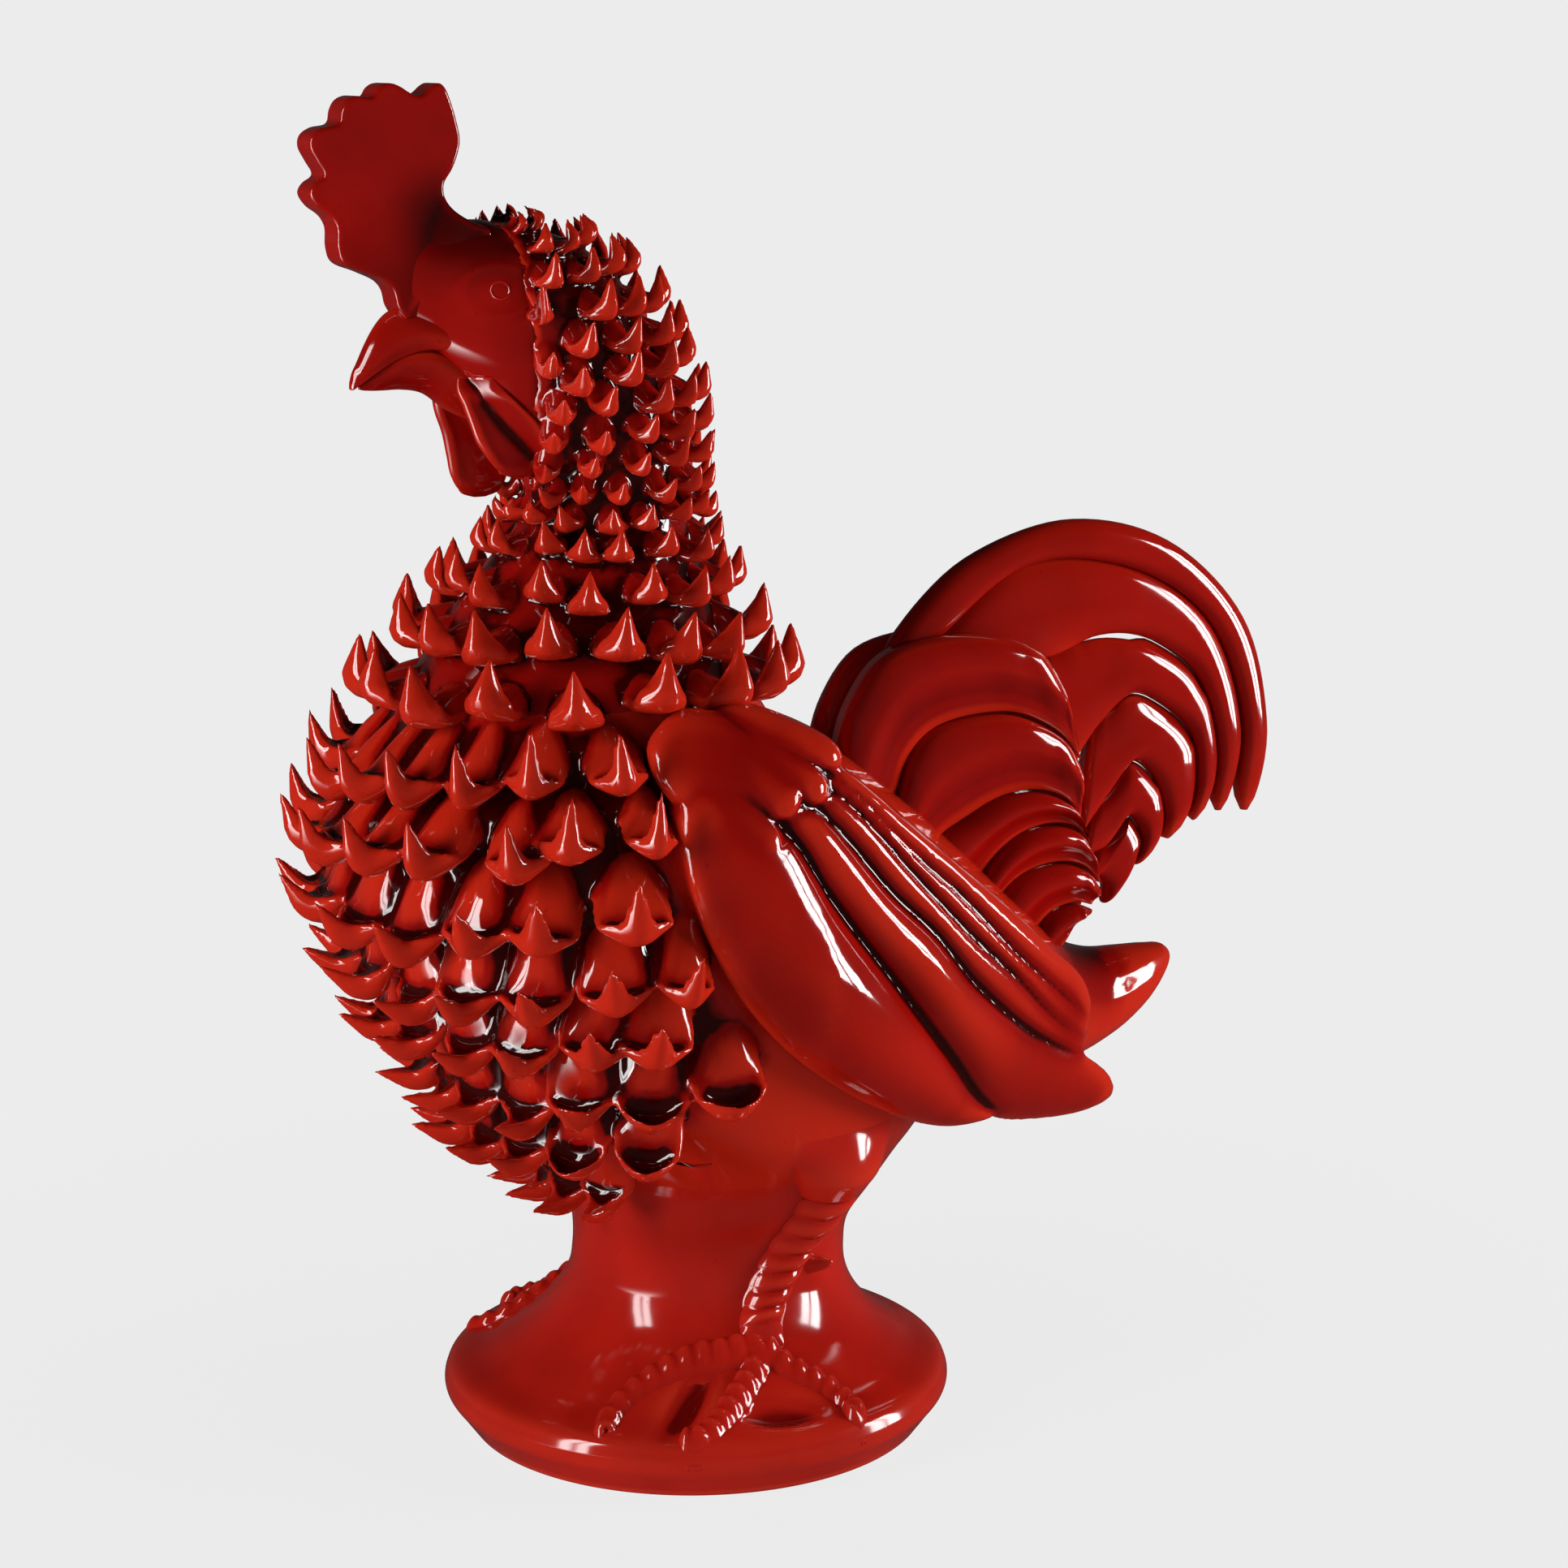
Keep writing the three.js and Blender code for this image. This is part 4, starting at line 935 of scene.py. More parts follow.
@dataclass
class Body:
    """The round body with its curled coat, back and upturned rump.

    Attributes:
        trunk: the skin that carries it.
        wing: the wing that the rows stop at.
        rows: heights of the rows of feathers.
        columns: feathers in a whole row.
        hem: height of the coat's lower edge at the breast.
        hem_rise: how far that edge climbs for each degree round the flank.
        hem_front: degrees on each side of the breast over which it stays level.
        seam_low: height of the seam with the pedestal.
        seam_high: height of the seam with the neck.
        lap: how far the trunk goes on past its seams.
        seed: of the chance moves.
        stray: how far a feather strays in its row, in degrees and millimetres.
        clay: how the coat runs into the trunk.
        hem_feather: the short feather of the hem.
        back: rows of X, top, bottom and half width of the back and rump.
    """

    trunk: Trunk
    wing: Wing
    rows: tuple = (237.6, 218.8, 200.3, 182.0, 163.8, 145.6, 127.3, 109.1)
    columns: int = 22
    hem: float = 104.0
    hem_rise: float = 0.62
    hem_front: float = 25.0
    seam_low: float = 92.0
    seam_high: float = 246.0
    lap: float = 12.0
    seed: int = 11
    stray: float = 1.8
    clay: Clay = Clay(1.05, 4, 90)
    hem_feather: Lappet = Lappet(claw=7.5, tip_lean=122, outline=(
        (0, 0.86), (0.2, 1.0), (0.5, 1.05), (0.65, 1.0), (0.8, 0.85), (0.9, 0.66), (0.97, 0.4), (1, 0.15),
    ))
    back: tuple = (
        (-30, 228, 112, 58), (5, 233, 99, 66), (35, 227, 95, 66), (65, 206, 94, 58), (92, 183, 95, 46),
        (116, 161, 97, 34), (136, 144, 100, 24), (151, 138, 104, 17.5), (165, 137, 110.5, 13),
        (176, 136.5, 119, 8.5), (182, 135.5, 126, 4.6), (184.6, 133, 129, 1.5),
    )

    def spine(self) -> Object:
        """Lofts the back from the trunk to the rump's tip.

        Returns:
            The closed form.
        """
        table = np.array(self.back, float)
        c, s = circle(64)
        rings = []
        for x in np.concatenate([np.linspace(-30, 176, 60), [178.5, 181, 183, 184.6]]):
            top, bottom, half = hermite(table[:, 0], table[:, 1:], [x])[0]
            middle, tall = (top + bottom) / 2, (top - bottom) / 2
            rings.append(np.column_stack([np.full(len(c), x), half * s, middle + tall * c]))
        return loft("back", np.array(rings))

    def coat(self) -> list:
        """Sets the feathers in staggered rows round the breast.

        Returns:
            The feathers, one object each.
        """
        chance = np.random.default_rng(self.seed)
        stray = self.stray
        shares = (0.0, 0.5, 1.0)
        models = [self.feather(share).model(f"feather_{share}") for share in shares]
        hem_feather = self.hem_feather.model("hem_feather")
        placed = []
        for row, height in enumerate(self.rows):
            x, front, _, half = self.trunk.level(height)
            size = math.pi * (front + half) / self.columns
            for column in range(self.columns):
                turn = stagger(row, column, self.columns)
                across, up = chance.uniform(-stray, stray), chance.uniform(-stray, stray)
                seat = self.trunk.seat(turn + across, height + up)
                lowest = self.hem + self.hem_rise * max(0.0, abs(turn) - self.hem_front)
                gap = min(self.wing.front(height - fall) for fall in (0, 8, 16)) - seat.point[0]
                if height < lowest or gap < size * 0.22:
                    continue
                flank = float(ease(abs(turn), 15, 75))
                model = min(zip(shares, models), key=lambda pair: abs(pair[0] - flank))[1]
                if abs(turn) > 38 and height - lowest < 24:
                    model = hem_feather
                wide = size / 23 * min(chance.uniform(1.0, 1.08), 0.45 + gap / size)
                proud = chance.uniform(0.915, 0.948) - 0.1 * flank
                shape = Matrix.Diagonal((wide, proud, chance.uniform(0.97, 1.03), 1))
                place = seat.matrix(1, 2.5, 3 + 4.5 * flank, chance.uniform(-6, 6), chance.uniform(-2, 2))
                placed.append(copy_of(model, "feather", place @ shape))
        for model in (*models, hem_feather):
            bpy.data.objects.remove(model)
        return placed

    def feather(self, flank: float) -> Lappet:
        """Gives a feather's form, from 0 at the breast to 1 on the flank."""
        return Lappet(
            bend=7.3 - 1.8 * flank, claw=11.5 + 3 * flank, thick=6.1 - 1.1 * flank,
            root_lean=26 + 8 * flank, tip_lean=138 + 12 * flank, horn=1.5 - 0.5 * flank,
        )

    def build(self, glaze: Material) -> None:
        """Builds and dresses the body.

        Args:
            glaze: its material.
        """
        heights = np.linspace(self.seam_low - self.lap, self.seam_high + self.lap, 70)
        grow = -0.5 * (1 - ease(heights, self.seam_low - 9, self.seam_low + 6))
        grow -= 0.8 * ease(heights, self.seam_high - 6, self.seam_high + 10)
        core = self.trunk.band("trunk", heights, 120, grow)
        body = joined("breast_and_back", [core, self.spine(), *self.coat()])
        fuse(body, self.clay)
        dress(body, glaze, "body_shell", self.clay.reach, self.worn)

    def worn(self, places: Array, depth: Array) -> Array:
        """Thins the glaze towards the pedestal, where the bare trunk meets its lighter coat.

        Args:
            places: points in millimetres, one row each.
            depth: how far each lies in a hollow.

        Returns:
            The changed depths. Cups of feathers keep theirs.
        """
        above = ease(places[:, 2], self.seam_low + 8, self.seam_low + 34)
        in_cup = ease(depth, 0.1, 0.4)
        return depth * in_cup + (depth * above - 0.5 * (1 - above)) * (1 - in_cup)


@dataclass
class Neck:
    """The neck and hood, set with thorn hackles that get finer up over the nape.

    Attributes:
        trunk: the skin that carries it.
        seam_low: height of the seam with the body.
        throat: height at which the face begins.
        face_top: X of the edge between the face and the hood, at the crown.
        face_lean: how far that edge goes back for each millimetre down.
        crown: height of the crown.
        wattle_top: height under which the wattles keep hackles off.
        wattle_rear: X of the wattles' rear edge.
        rows: heights of the rows of hackles.
        columns: hackles in a whole row.
        widest: the most that a hackle's width counts for its scale.
        model_width: width of a hackle of scale 1, with its gap.
        edge_heights: first, last and step of the heights of the hackles along the face.
        press_depth: how deep the skin is pressed under the face.
        axis_x: X of the line towards which it is pressed.
        axis_top: height at which that line ends.
        seed: of the chance moves.
        clay: how the hackles run into the skin.
        thorn: a hackle of the neck.
        bud: a hackle of the hood.
    """

    trunk: Trunk
    seam_low: float = 246.0
    throat: float = 305.0
    face_top: float = -68.0
    face_lean: float = 0.09
    crown: float = 391.0
    wattle_top: float = 346.0
    wattle_rear: float = -57.0
    rows: tuple = (
        389.6, 387.75, 383.25, 376.0, 367.1, 358.1, 349.2, 340.25, 331.3, 322.4, 313.4, 304.5, 293.75,
        280.6, 266.5, 250.4,
    )
    columns: int = 16
    widest: float = 18.9
    model_width: float = 10.5
    edge_heights: tuple = (310, 386, 8.5)
    press_depth: float = 5.0
    axis_x: float = -45.0
    axis_top: float = 372.0
    seed: int = 5
    clay: Clay = Clay(0.8, 4, 45)
    thorn: Lappet = Lappet(
        hang=6, bend=3, claw=6.5, width=9.8, thick=4.2, root_lean=38, tip_lean=146, steps=16, around=14,
        outline=(
            (0, 0.8), (0.2, 0.97), (0.42, 1.03), (0.54, 0.92), (0.65, 0.64), (0.78, 0.38),
            (0.91, 0.17), (1, 0.04),
        ),
    )
    bud: Lappet = Lappet(
        hang=6, bend=3, claw=6.6, width=9.0, thick=4.3, root_lean=38, tip_lean=150, steps=14, around=12,
        outline=(
            (0, 0.8), (0.25, 0.97), (0.46, 0.9), (0.58, 0.66), (0.7, 0.46), (0.82, 0.31),
            (0.93, 0.18), (1, 0.06),
        ),
    )

    def face_seam(self, height: float | Array) -> float | Array:
        """Gives X of the edge between the face and the hood at a height."""
        return self.face_top + self.face_lean * (self.crown - height)

    def size_at(self, height: float) -> float:
        """Gives the width that each hackle of a row has at a height."""
        _, front, back, half = self.trunk.level(height)
        return math.pi * (half + (front + back) / 2) / self.columns

    def row_seats(self) -> list:
        """Finds the seats of the staggered rows, which leave out the face and the wattles.

        Returns:
            Seat, whether it is on the hood, scale, roll and tilt of each hackle.
        """
        chance = np.random.default_rng(self.seed)
        seats = []
        for row, height in enumerate(self.rows):
            size = self.size_at(height)
            for column in range(self.columns):
                turn = stagger(row, column, self.columns)
                loose = 2.2 if height < self.throat else 1.1
                across, up = chance.uniform(-3, 3), chance.uniform(-loose, loose)
                seat = self.trunk.seat(turn + across, height + up)
                x = seat.point[0]
                on_face = height > self.throat - size and x < self.face_seam(height) + size * 0.12
                by_wattle = self.throat < height < self.wattle_top and x < self.wattle_rear
                if on_face or by_wattle:
                    continue
                scale = min(size, self.widest) / self.model_width * chance.uniform(0.95, 1.04)
                roll, tilt = chance.uniform(-10, 10), chance.uniform(-5, 5)
                seats.append((seat, height > self.throat, scale, roll, tilt))
        return seats

    def edge_seats(self, others: list) -> list:
        """Finds seats along the face's edge, where no other hackle is near.

        Args:
            others: the seats that are taken.

        Returns:
            Seat, whether it is on the hood, scale, roll and tilt of each hackle.
        """
        taken = [seat.point for seat, *_ in others]
        seats = []
        for height in np.arange(*self.edge_heights):
            middle, front, _, _ = self.trunk.level(height)
            size = self.size_at(height)
            share = (middle - self.face_seam(height) - 0.3 * size) / front
            for side in Side:
                turn = -side.value * math.degrees(math.acos(min(1.0, max(-1.0, share))))
                seat = self.trunk.seat(turn, height)
                if min(np.linalg.norm(seat.point - other) for other in taken) < 0.62 * size:
                    continue
                seats.append((seat, True, 0.85 * min(size, self.widest) / self.model_width, 0, 0))
                taken.append(seat.point)
        return seats

    def hackles(self) -> list:
        """Sets a thorn on each seat of the neck and a bud on each seat of the hood.

        Returns:
            The hackles, one object each.
        """
        thorn, bud = self.thorn.model("thorn"), self.bud.model("bud")
        rows = self.row_seats()
        placed = []
        for seat, on_hood, scale, roll, tilt in rows + self.edge_seats(rows):
            place = seat.matrix(scale, 1.2 * scale, 1.5 * scale, roll, tilt)
            placed.append(copy_of(bud if on_hood else thorn, "hackle", place))
        for model in (thorn, bud):
            bpy.data.objects.remove(model)
        return placed

    def build(self, glaze: Material) -> None:
        """Builds and dresses the neck, pressed in under the face.

        Args:
            glaze: its material.
        """
        heights = np.concatenate([np.linspace(self.seam_low - 10, 384, 86), [386.5, 388.5, 389.8, 390.5]])
        grow = -0.8 * (1 - ease(heights, self.seam_low - 8, self.seam_low + 8))
        core = self.trunk.band("neck", heights, 96, grow)
        neck = joined("hackled_neck", [core, *self.hackles()])
        fuse(neck, self.clay)
        self.press_face(neck.data)
        dress(neck, glaze, "neck_shell", self.clay.reach, crown_shade)

    def press_face(self, mesh: Mesh) -> None:
        """Presses the hood's skin under the face, forward of the face's edge.

        Args:
            mesh: the neck's mesh.
        """
        places = read_rows(mesh.vertices, "co", 3) / MM
        x, height = places[:, 0], places[:, 2]
        edge = self.face_seam(height)
        depth = self.press_depth * ease(edge - x, -0.5, 3.5) * ease(height, self.throat - 2, self.throat + 3)
        middle = np.zeros((len(x), 3))
        middle[:, 0], middle[:, 2] = self.axis_x, np.clip(height, 0, self.axis_top)
        places -= unit(places - middle) * depth[:, None]
        places[:, 1] *= 1 - 0.6 * ease(edge - x, 0, 22) * ease(height, 338, 352)
        mesh.vertices.foreach_set("co", (places * MM).astype(np.float32).ravel())
        mesh.update()


@dataclass
class Head:
    """The smooth face with its lids, and the eyes, comb, beak and wattles on it.

    Attributes:
        trunk: the skin that carries it.
        neck: the hood that frames the face.
        eye_x: X of the eyes.
        eye_z: height of the eyes.
        eye_radius: radius of an eye's ring.
        lid_long: half length of the almond lids.
        lid_tall: half height of the almond lids.
        lid_round: how far the lids rise.
        lid_power: how square the almond is, 2 for an ellipse.
        wedge: how much the face narrows towards the bill.
        cheek: X, height, half length and half height of the cheek's lobe.
        cheek_rise: how far the lobe's edge rises.
        axis_x: X of the line from which the lids and creases are raised.
        axis_top: height at which that line ends.
        comb_thick: thickness of the comb.
        comb_round: radius of the comb's edges.
        comb_flare: how much thicker the comb's root is on each face.
        comb_clay: how the comb's skin is rounded.
        face_reach: how far glaze looks for hollows on the face, in passes of smoothing.
        comb_front: the comb's outline in X and Z.
        upper_levels: X, top, bottom, half width and lean of the upper beak.
        lower_levels: the same for the lower beak.
        near_wattle: height, middle and half length of the left wattle.
        far_wattle: the same for the right wattle.
    """

    trunk: Trunk
    neck: Neck
    eye_x: float = -73.0
    eye_z: float = 371.0
    eye_radius: float = 4.4
    lid_long: float = 10.4
    lid_tall: float = 7.6
    lid_round: float = 0.5
    lid_power: float = 1.8
    wedge: float = 0.45
    cheek: tuple = (-70, 347, 13, 19)
    cheek_rise: float = 0.5
    axis_x: float = -48.0
    axis_top: float = 368.0
    comb_thick: float = 12.4
    comb_round: float = 1.3
    comb_flare: float = 7.0
    comb_clay: Clay = Clay(0.55, 3)
    face_reach: int = 3
    comb_front: tuple = (
        (-97, 362), (-99.6, 366), (-100.6, 370.2), (-102.6, 373), (-108.6, 376.2), (-114.8, 379.2),
        (-116.2, 383.7), (-116.3, 389.6), (-118, 392.8), (-121.6, 395.8), (-123.6, 399.6),
        (-122.2, 402.4), (-119.4, 404.6), (-121.3, 408.7), (-123.2, 412.9), (-122.6, 416.1),
        (-119.8, 418.2), (-115, 419.4), (-114.2, 423), (-112.6, 426), (-110, 427.3), (-107.2, 427),
        (-105.2, 427), (-104, 429.2), (-102.2, 430.6), (-99.9, 430.9), (-97.4, 430), (-94.2, 427.9),
        (-91.7, 427.3), (-90, 428.4), (-88.2, 430.1), (-86.2, 430.9), (-84.7, 429.6), (-83.1, 425.7),
        (-81.4, 419.3), (-80.6, 414.3), (-81.4, 410), (-83.2, 405.5), (-85.4, 401.8), (-85.4, 398),
        (-83.5, 394.1), (-79.5, 390.8), (-75, 388.5), (-74, 384), (-79, 376), (-89, 364.5),
    )
    upper_levels: tuple = (
        (-80, 366.5, 347.5, 17, -4), (-82, 366.3, 348.8, 16.4, -4), (-89, 366, 351.6, 14.5, -4),
        (-96, 364.5, 352, 11.5, -4), (-102, 360.5, 349.6, 8.5, -2.5), (-107, 355, 345.9, 6, -1),
        (-110.8, 349.5, 342.6, 3.4, 0), (-112.6, 346, 341.5, 1.6, 0), (-113.2, 344, 341.8, 0.5, 0),
    )
    lower_levels: tuple = (
        (-74, 347, 330.5, 12.6, 0), (-77, 348.5, 331.4, 12.8, 0), (-83, 351.2, 334.5, 12.8, 0),
        (-90, 353.5, 339.5, 11.3, 0), (-97, 352.5, 341, 8.6, 0), (-103, 348.9, 341, 5.6, 0),
        (-107, 345.6, 341.1, 3.2, 0), (-109.5, 343.4, 341.4, 1.2, 0), (-110.4, 342.4, 341.7, 0.4, 0),
    )
    near_wattle: tuple = (
        (345, -78.5, 4.0), (341, -76.8, 6.2), (336, -73.6, 7.8), (331, -70.4, 9.3), (325, -67.6, 10.0),
        (320, -65.3, 9.0), (317, -64.4, 7.4), (315, -64.2, 5.0), (314, -64.3, 2.0),
    )
    far_wattle: tuple = (
        (345, -79, 4.5), (340, -76.5, 6.6), (333, -73.5, 8.4), (326, -70, 9.3), (319, -68, 9.6),
        (312, -66.6, 9.2), (308.5, -66.3, 7.4), (306.2, -66.3, 4.8), (305.4, -66.3, 2.0),
    )

    def face(self) -> Object:
        """Lofts the face and raises the almond lids and the crease behind the cheek.

        Returns:
            The closed form.
        """
        around = 132
        turns = np.arange(around) * 360 / around
        heights = np.concatenate([
            [self.neck.throat - 6], np.linspace(self.neck.throat - 3, 384, 96),
            [385.5, 387, 388.3, 389.4, 390.2, 390.7],
        ])
        seat = self.eye_seat()
        cheek_x, cheek_z, cheek_long, cheek_tall = self.cheek
        rings = []
        for height in heights:
            points = self.trunk.skin(turns, height)
            out = unit(points - np.array([self.axis_x, 0, min(height, self.axis_top)]))
            lift = np.zeros(around)
            for side in Side:
                flip = np.array([1, -side.value, 1])
                offset = points * flip - seat.point
                along, upward = offset @ seat.side, -(offset @ seat.down)
                power = self.lid_power
                ring = np.abs(along / self.lid_long) ** power + np.abs(upward / self.lid_tall) ** power
                ring = ring ** (1 / power)
                near = (offset @ seat.out > -12).astype(float)
                lift += near * self.lid_round * np.exp(-(((ring - 1) / 0.15) ** 2))
                lift -= near * 0.25 * (1 - ease(ring, 0.5, 0.95))
                lobe = np.hypot((points[:, 0] - cheek_x) / cheek_long, (height - cheek_z) / cheek_tall)
                crease = np.exp(-(((lobe - 1) / 0.1) ** 2)) * (points[:, 0] > cheek_x + 6)
                lift += self.cheek_rise * crease * (points[:, 1] * side.value > 6)
            edge = self.neck.face_seam(height)
            lift -= 3.5 * ease(points[:, 0] - edge, -0.5, 5)
            rings.append(self.pinched(points + out * lift[:, None]))
        return loft("face", np.array(rings))

    def pinched(self, points: Array) -> Array:
        """Narrows points of the face towards the bill."""
        share = 1 - self.wedge * ease(-points[:, 0], 66, 98) * ease(points[:, 2], 346, 362)
        return points * np.column_stack([np.ones(len(points)), share, np.ones(len(points))])

    def eye_seat(self) -> Seat:
        """Finds the place of the left eye on the skin.

        Returns:
            The seat.
        """
        x, front, _, _ = self.trunk.level(self.eye_z)
        turn = math.degrees(math.acos((x - self.eye_x) / front))
        return self.trunk.seat(turn, self.eye_z)

    def eye(self) -> Object:
        """Turns the left eye's raised ring and dimple on the wheel.

        Returns:
            The closed form.
        """
        r = self.eye_radius
        profile = [
            (r, -3.4), (r, -2.1), (r * 0.76, -1.1), (r * 0.68, -0.45), (r * 0.62, -0.08), (r * 0.57, 0.05),
            (r * 0.52, -0.08), (r * 0.46, -0.3), (r * 0.3, -0.36), (r * 0.15, -0.3), (0.05, -0.26),
        ]
        seat = self.eye_seat()
        c, s = circle(40)
        rings = [
            seat.point + seat.out * rise + radius * (c[:, None] * seat.side + s[:, None] * seat.down)
            for radius, rise in profile
        ]
        return loft("left_eye_ring", np.array([self.pinched(ring) for ring in rings]))

    def comb(self) -> Object:
        """Lofts the thick toothed plate from one rounded face to the other.

        Returns:
            The comb.
        """
        outline = even_curve([*self.comb_front, self.comb_front[0]], 241)[:-1]
        outline[:, 0] += (outline[:, 0] + 101) * 0.11 * ease(outline[:, 1], 366, 380)
        outline[:, 1] += 0.1 * ease(outline[:, 1], 395, 425)
        along = unit(np.roll(outline, -1, 0) - np.roll(outline, 1, 0))
        inward = np.column_stack([along[:, 1], -along[:, 0]])
        if np.sum(inward * (outline.mean(0) - outline)) < 0:
            inward = -inward
        half, edge = self.comb_thick / 2, self.comb_round
        bend = np.radians([90, 68, 45, 22, 0])
        stations = [(-half + edge - edge * math.sin(b), edge - edge * math.cos(b)) for b in bend]
        stations += [(-y, inset) for y, inset in reversed(stations)]
        rings = []
        for y, inset in stations:
            line = outline + inward * inset
            flare = self.comb_flare * ease(line[:, 1], 374, 387) * (1 - ease(line[:, 1], 387, 401)) ** 1.5
            flare *= ease(line[:, 0], -93, -80)
            rings.append(upright(line, y * (1 + flare / half)))
        comb = loft("toothed_comb", np.array(rings))
        fuse(comb, self.comb_clay)
        return comb

    def beak_half(self, name: str, levels: tuple, wide_at: float) -> Object:
        """Lofts one half of the beak, widest near its lip.

        Args:
            name: the object's name.
            levels: place, top, bottom, half width and lean.
            wide_at: how far down its side the lip lies, -1 at the top and 1 at the bottom.

        Returns:
            The closed form.
        """
        table = np.array(levels, float)[::-1]
        tip, root = table[0, 0], table[-1, 0]
        places = np.concatenate([np.linspace(tip, tip + 3, 8), np.linspace(tip + 4, root, 34)])
        c, s = circle(56)
        shape = fuller(s, 0.8) * (1 - 0.3 * (c + wide_at) * np.sign(wide_at))
        lip = np.exp(-(((c + wide_at * 0.86) / 0.16) ** 2)) * np.sign(s)
        rings = []
        for place in places[::-1]:
            top, bottom, half, lean = hermite(table[:, 0], table[:, 1:], [place])[0]
            middle, tall = (top + bottom) / 2, max((top - bottom) / 2, 0.3)
            width = max(half, 0.4) * shape + 0.55 * min(1, half / 5) * lip
            rings.append(np.column_stack([place + lean * c, width, middle + tall * c]))
        return loft(name, np.array(rings))

    def wattle(self, name: str, side: Side, levels: tuple) -> Object:
        """Lofts a hanging wattle, a dished leaf with a raised rim.

        Args:
            name: the object's name.
            side: the flank that it hangs on.
            levels: height, middle and half length.

        Returns:
            The closed form.
        """
        table = np.array(levels, float)[::-1]
        c, s = circle(44)
        top, bottom = table[-1, 0], table[0, 0]
        rings = []
        for z in np.concatenate([np.linspace(top, bottom + 4, 34), np.linspace(bottom + 3.6, bottom, 12)]):
            middle, half = hermite(table[:, 0], table[:, 1:], [z])[0]
            t = (top - z) / (top - bottom)
            thick = 3.5 * math.sqrt(max(0.02, 1 - t**7)) * (0.3 + 0.7 * float(ease(t, 0, 0.25)))
            x, front, _, flank = self.trunk.level(z)
            across = (x - middle - half * c) / front
            skin = flank * np.sqrt(np.maximum(0, 1 - across**2))
            y = side.value * np.maximum(9.5 + 4 * t, skin + 0.8 * t)
            open_now = float(ease(t, 0.12, 0.3)) * (1 - float(ease(t, 0.8, 0.94)))
            dish = 1 - 0.34 * open_now * (1 - ease(np.abs(c), 0.5, 0.9))
            rings.append(np.column_stack([middle + half * c, y + thick * s * dish, np.full(len(c), z)]))
        return loft(name, np.array(rings))

    def build(self, glaze: Material) -> None:
        """Builds and dresses the head's pieces.

        Args:
            glaze: their material.
        """
        dress(self.face(), glaze, "head_shell", self.face_reach, crown_shade)
        eye = self.eye()
        dress(mirrored(eye, "right_eye_ring"), glaze, "right_eye")
        dress(eye, glaze, "left_eye")
        dress(self.comb(), glaze, "comb", self.comb_clay.reach, crown_shade)
        halves = (("upper_beak", self.upper_levels, 1), ("lower_beak", self.lower_levels, -1))
        for node, levels, wide_at in halves:
            dress(self.beak_half(f"{node}_half", levels, wide_at), glaze, node)
        for side, levels in ((Side.LEFT, self.near_wattle), (Side.RIGHT, self.far_wattle)):
            node = f"{side.name.lower()}_wattle"
            dress(self.wattle(f"{node}_leaf", side, levels), glaze, node)


# ---------------------------------------------------------------------------------------------
# Tail
# ---------------------------------------------------------------------------------------------


